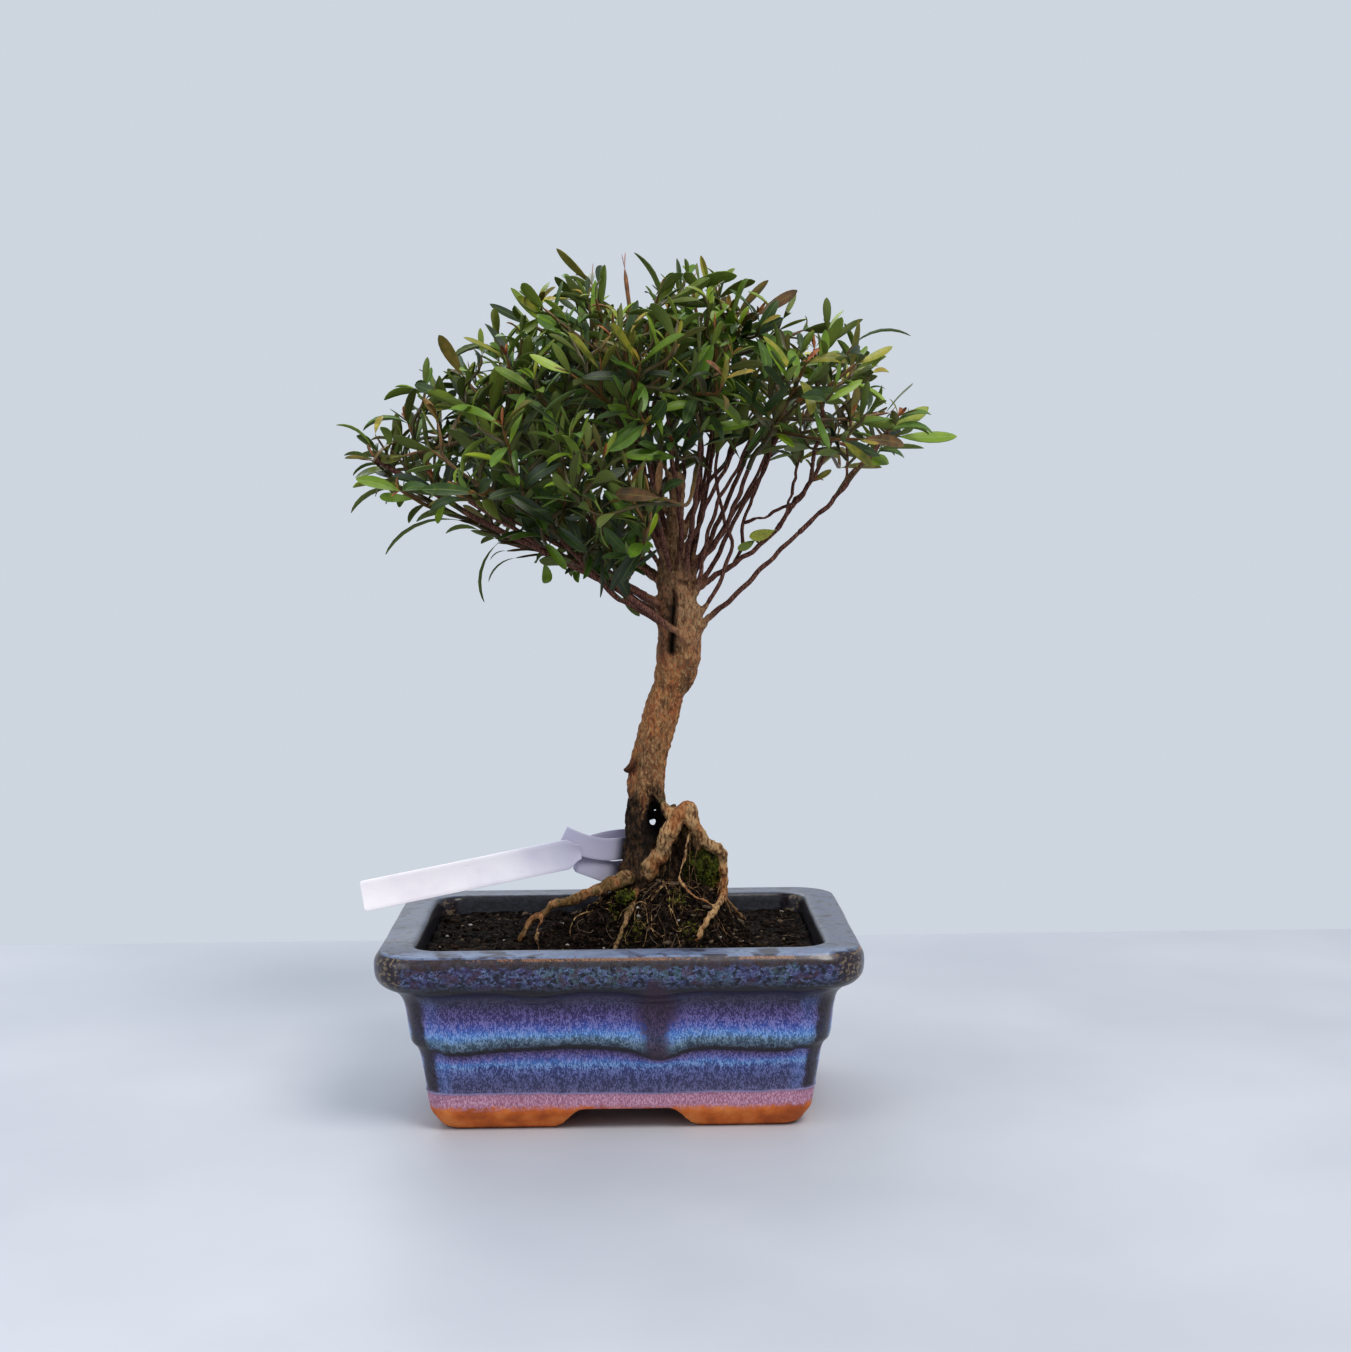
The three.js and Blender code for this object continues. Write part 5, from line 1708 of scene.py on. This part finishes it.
def put_tuft(bm, spot, normal, size):
    turn = Vector(normal).to_track_quat("Z", "Y").to_matrix().to_4x4()
    spin = Matrix.Rotation(chance.uniform(0, 6.3), 4, "Z")
    new = added(bm, chance.choice(TUFTS))
    place = Matrix.Translation(spot) @ turn @ spin @ Matrix.Scale(size, 4)
    bmesh.ops.transform(bm, matrix=place, verts=new)


def build_moss(node, centre, size, tufts):
    bm = new_bmesh("tip")
    bmesh.ops.create_icosphere(bm, subdivisions=4, radius=1)
    for v in bm.verts:
        lump = 1 + 0.09 * math.sin(5 * v.co.x + 4 * v.co.z) * math.cos(6 * v.co.y)
        lump *= 0.95 + 0.16 * noise.noise(v.co * 2.6) + 0.08 * noise.noise(v.co * 7)
        v.co = Vector([c * lump * s + m for c, s, m in zip(v.co, size, centre)])
    bm.normal_update()
    seats = [(v.co.copy(), v.normal.copy()) for v in chance.choices(list(bm.verts), k=tufts)]
    for spot, normal in seats:
        if spot.z > soil_height(spot.x, spot.y) - 1:
            if noise.noise(spot * 0.35) > -0.12:
                put_tuft(bm, spot, normal + Vector((0, 0, 0.3)), chance.uniform(0.7, 1.5))
    place_piece("mossy_" + node, bm, [MOSS], [node])


MOSS_PATCHES = [
    (-20, -36, 5), (7, -28, 4), (31, -30, 6), (38, -38, 4), (-3, -16, 3),
    (24, -22, 4), (50, 12, 6), (-8, 22, 7), (28, 26, 6),
]


def build_moss_bits():
    bm = new_bmesh("tip")
    for x, y, reach in MOSS_PATCHES:
        for k in range(16 * reach):
            px, py = x + chance.gauss(0, reach * 0.5), y + chance.gauss(0, reach * 0.4)
            lean = (chance.gauss(0, 0.2), chance.gauss(0, 0.2), 1)
            put_tuft(bm, (px, py, soil_surface(px, py)), lean, chance.uniform(0.7, 1.5))
    place_piece("moss_bits", bm, [MOSS])


build_soil()
build_crumbs()
build_rootlets()
build_moss("moss_arch", (35.5, -4.5, 101), (8.4, 7.8, 10.5), 1700)
build_moss("moss_foot", (2.6, -17.5, 90.8), (4.0, 4.2, 2.7), 200)
build_moss_bits()


# Plant label: a thin strip with rounded corners whose tail loops round the root behind the trunk
LABEL_WIDTH, TAIL_WIDTH, LABEL_THICKNESS = 13, 9.6, 0.5
STRIP = Path(
    (-107.8, -30, 94.5), (-71.6, -21.6, 100.2), (-46, -16.2, 104.4), (-24, -12.4, 108), (-16.6, -10, 109),
)
NECK = {"length": 6.5, "width": 7}
TAIL = Path(
    (-24.4, -9.6, 115.6), (-20, -9.2, 113.4), (-15, -7.6, 111.2), (-6.5, -2, 108.6), (1, 4.6, 107.8),
    (8, 12.6, 107), (18, 14.7, 106.5), (22.1, 17.4, 106.5), (21.7, 22.2, 106.5), (17, 24.8, 107),
    (8, 24, 108.4), (1.4, 19, 109.3), (-6, 17.5, 108.6), (-13, 14.5, 107.3), (-18, 8, 106),
    (-20, 0.5, 104.8), (-18, -5, 104.2), (-12, -3.5, 101.6), (-4.8, 2, 98), (0.5, 9, 97),
)


def ribbon(bm, path, width_at, steps, cup, shade_from, shade_to):
    shade = bm.verts.layers.float.get("along")
    made = bmesh.ops.create_grid(bm, x_segments=steps, y_segments=8, size=0.5)
    along = np.linspace(0, 1, steps + 1)
    points, tangents = path.points(along), path.tangents(along)
    for v in made["verts"]:
        j, side = round((v.co.x + 0.5) * steps), 2 * v.co.y
        across = unit(np.cross(tangents[j], UP))
        upright = np.cross(across, tangents[j])
        half = width_at(along[j]) / 2
        v.co = points[j] + upright * side * half + across * cup * (side * side - 0.5)
        v[shade] = shade_from + (shade_to - shade_from) * along[j]


def build_label():
    bm = new_bmesh("along")
    length = STRIP.length

    def strip_width(along):
        at_end = min(along, 1 - along) * length
        necked = smoothstep(NECK["length"], 1, (1 - along) * length)
        return LABEL_WIDTH - 1.2 * max(0, 1 - at_end / 1.2) ** 2 - (LABEL_WIDTH - NECK["width"]) * necked

    ribbon(bm, STRIP, strip_width, 110, 0.5, 0, 0.95)
    ribbon(bm, TAIL, lambda along: TAIL_WIDTH, 220, 0.12, 1, 1)
    mesh = with_modifiers(
        bm,
        ("SOLIDIFY", {"thickness": LABEL_THICKNESS, "offset": 0}),
        ("BEVEL", {"width": 0.12, "segments": 2, "limit_method": "ANGLE", "angle_limit": math.radians(50)}),
    )
    mesh.transform(TO_ROW)
    place_mesh("loop_label", mesh, [LABEL], ["label"], 50)


build_label()


# Floor, lights and camera
FLOOR_HALF, FLOOR_BACK = 1.6, 0.33
CAMERA_SPOT, CAMERA_TURN, LENS = (6.0, -875.9, 253.5), (1.23, -4.57, -0.44), 54.28
# Name, spot, target, size, power, colour
LIGHTS = [
    ("key", (0.6, -0.9, 1.4), (0, 0, 0.2), 0.8, 17, (1.0, 0.97, 0.93)),
    ("fill", (-1.2, -0.8, 0.8), (0, 0, 0.15), 1.1, 5, (0.9, 0.95, 1.0)),
    ("back", (-0.4, 1.2, 1.2), (0, 0, 0.2), 1.2, 8, (0.92, 0.96, 1.0)),
]
SKY_COLOUR, SKY_STRENGTH = (0.74, 0.8, 0.88, 1), 0.72


def build_stage():
    bm = bmesh.new()
    bmesh.ops.create_grid(bm, x_segments=1, y_segments=1, size=1)
    for v in bm.verts:
        v.co.x *= FLOOR_HALF
        v.co.y = FLOOR_BACK if v.co.y > 0 else -FLOOR_HALF
    mesh = mesh_of("pale_floor", bm)
    material, shader = new_material("pale_floor", specular_ior_level=0.3)
    cloud = streaks(object_place(shader), 6.0, detail=3)
    colour = ramp(cloud, [(0.3, (176, 179, 186)), (0.7, (188, 190, 196))])
    finish_surface(shader, colour, 0.42 + 0.1 * cloud)
    mesh.materials.append(material)
    floor = put_in_scene("pale_floor", mesh)


def area_light(name, spot, target, size, power, colour):
    light = bpy.data.lights.new(name, "AREA")
    light.shape, light.size, light.energy, light.color = "DISK", size, power, colour
    lamp = put_in_scene(name, light)
    lamp.location = spot
    lamp.rotation_euler = (Vector(target) - Vector(spot)).to_track_quat("-Z", "Y").to_euler()


def build_camera():
    yaw, pitch, roll = (math.radians(a) for a in CAMERA_TURN)
    forward = Vector((math.sin(yaw) * math.cos(pitch), math.cos(yaw) * math.cos(pitch), math.sin(pitch)))
    right = Vector((math.cos(yaw), -math.sin(yaw), 0))
    up = right.cross(forward)
    c, s = math.cos(roll), math.sin(roll)
    right, up = right * c + up * s, up * c - right * s
    lens = bpy.data.cameras.new("camera")
    lens.sensor_fit = "HORIZONTAL"
    lens.lens = LENS
    camera = put_in_scene("camera", lens)
    turn = Matrix((right, up, -forward)).transposed().to_4x4()
    camera.matrix_world = Matrix.Translation(TO_ROW @ Vector(CAMERA_SPOT)) @ turn
    bpy.context.scene.camera = camera


build_stage()
build_camera()
for light in LIGHTS:
    area_light(*light)
world = bpy.data.worlds.new("soft_daylight")
world.use_nodes = True
sky = world.node_tree.nodes["Background"]
sky.inputs["Color"].default_value = SKY_COLOUR
sky.inputs["Strength"].default_value = SKY_STRENGTH
bpy.context.scene.world = world
bpy.context.scene.view_settings.view_transform = "Standard"
bpy.context.scene.view_settings.look = "Medium High Contrast"
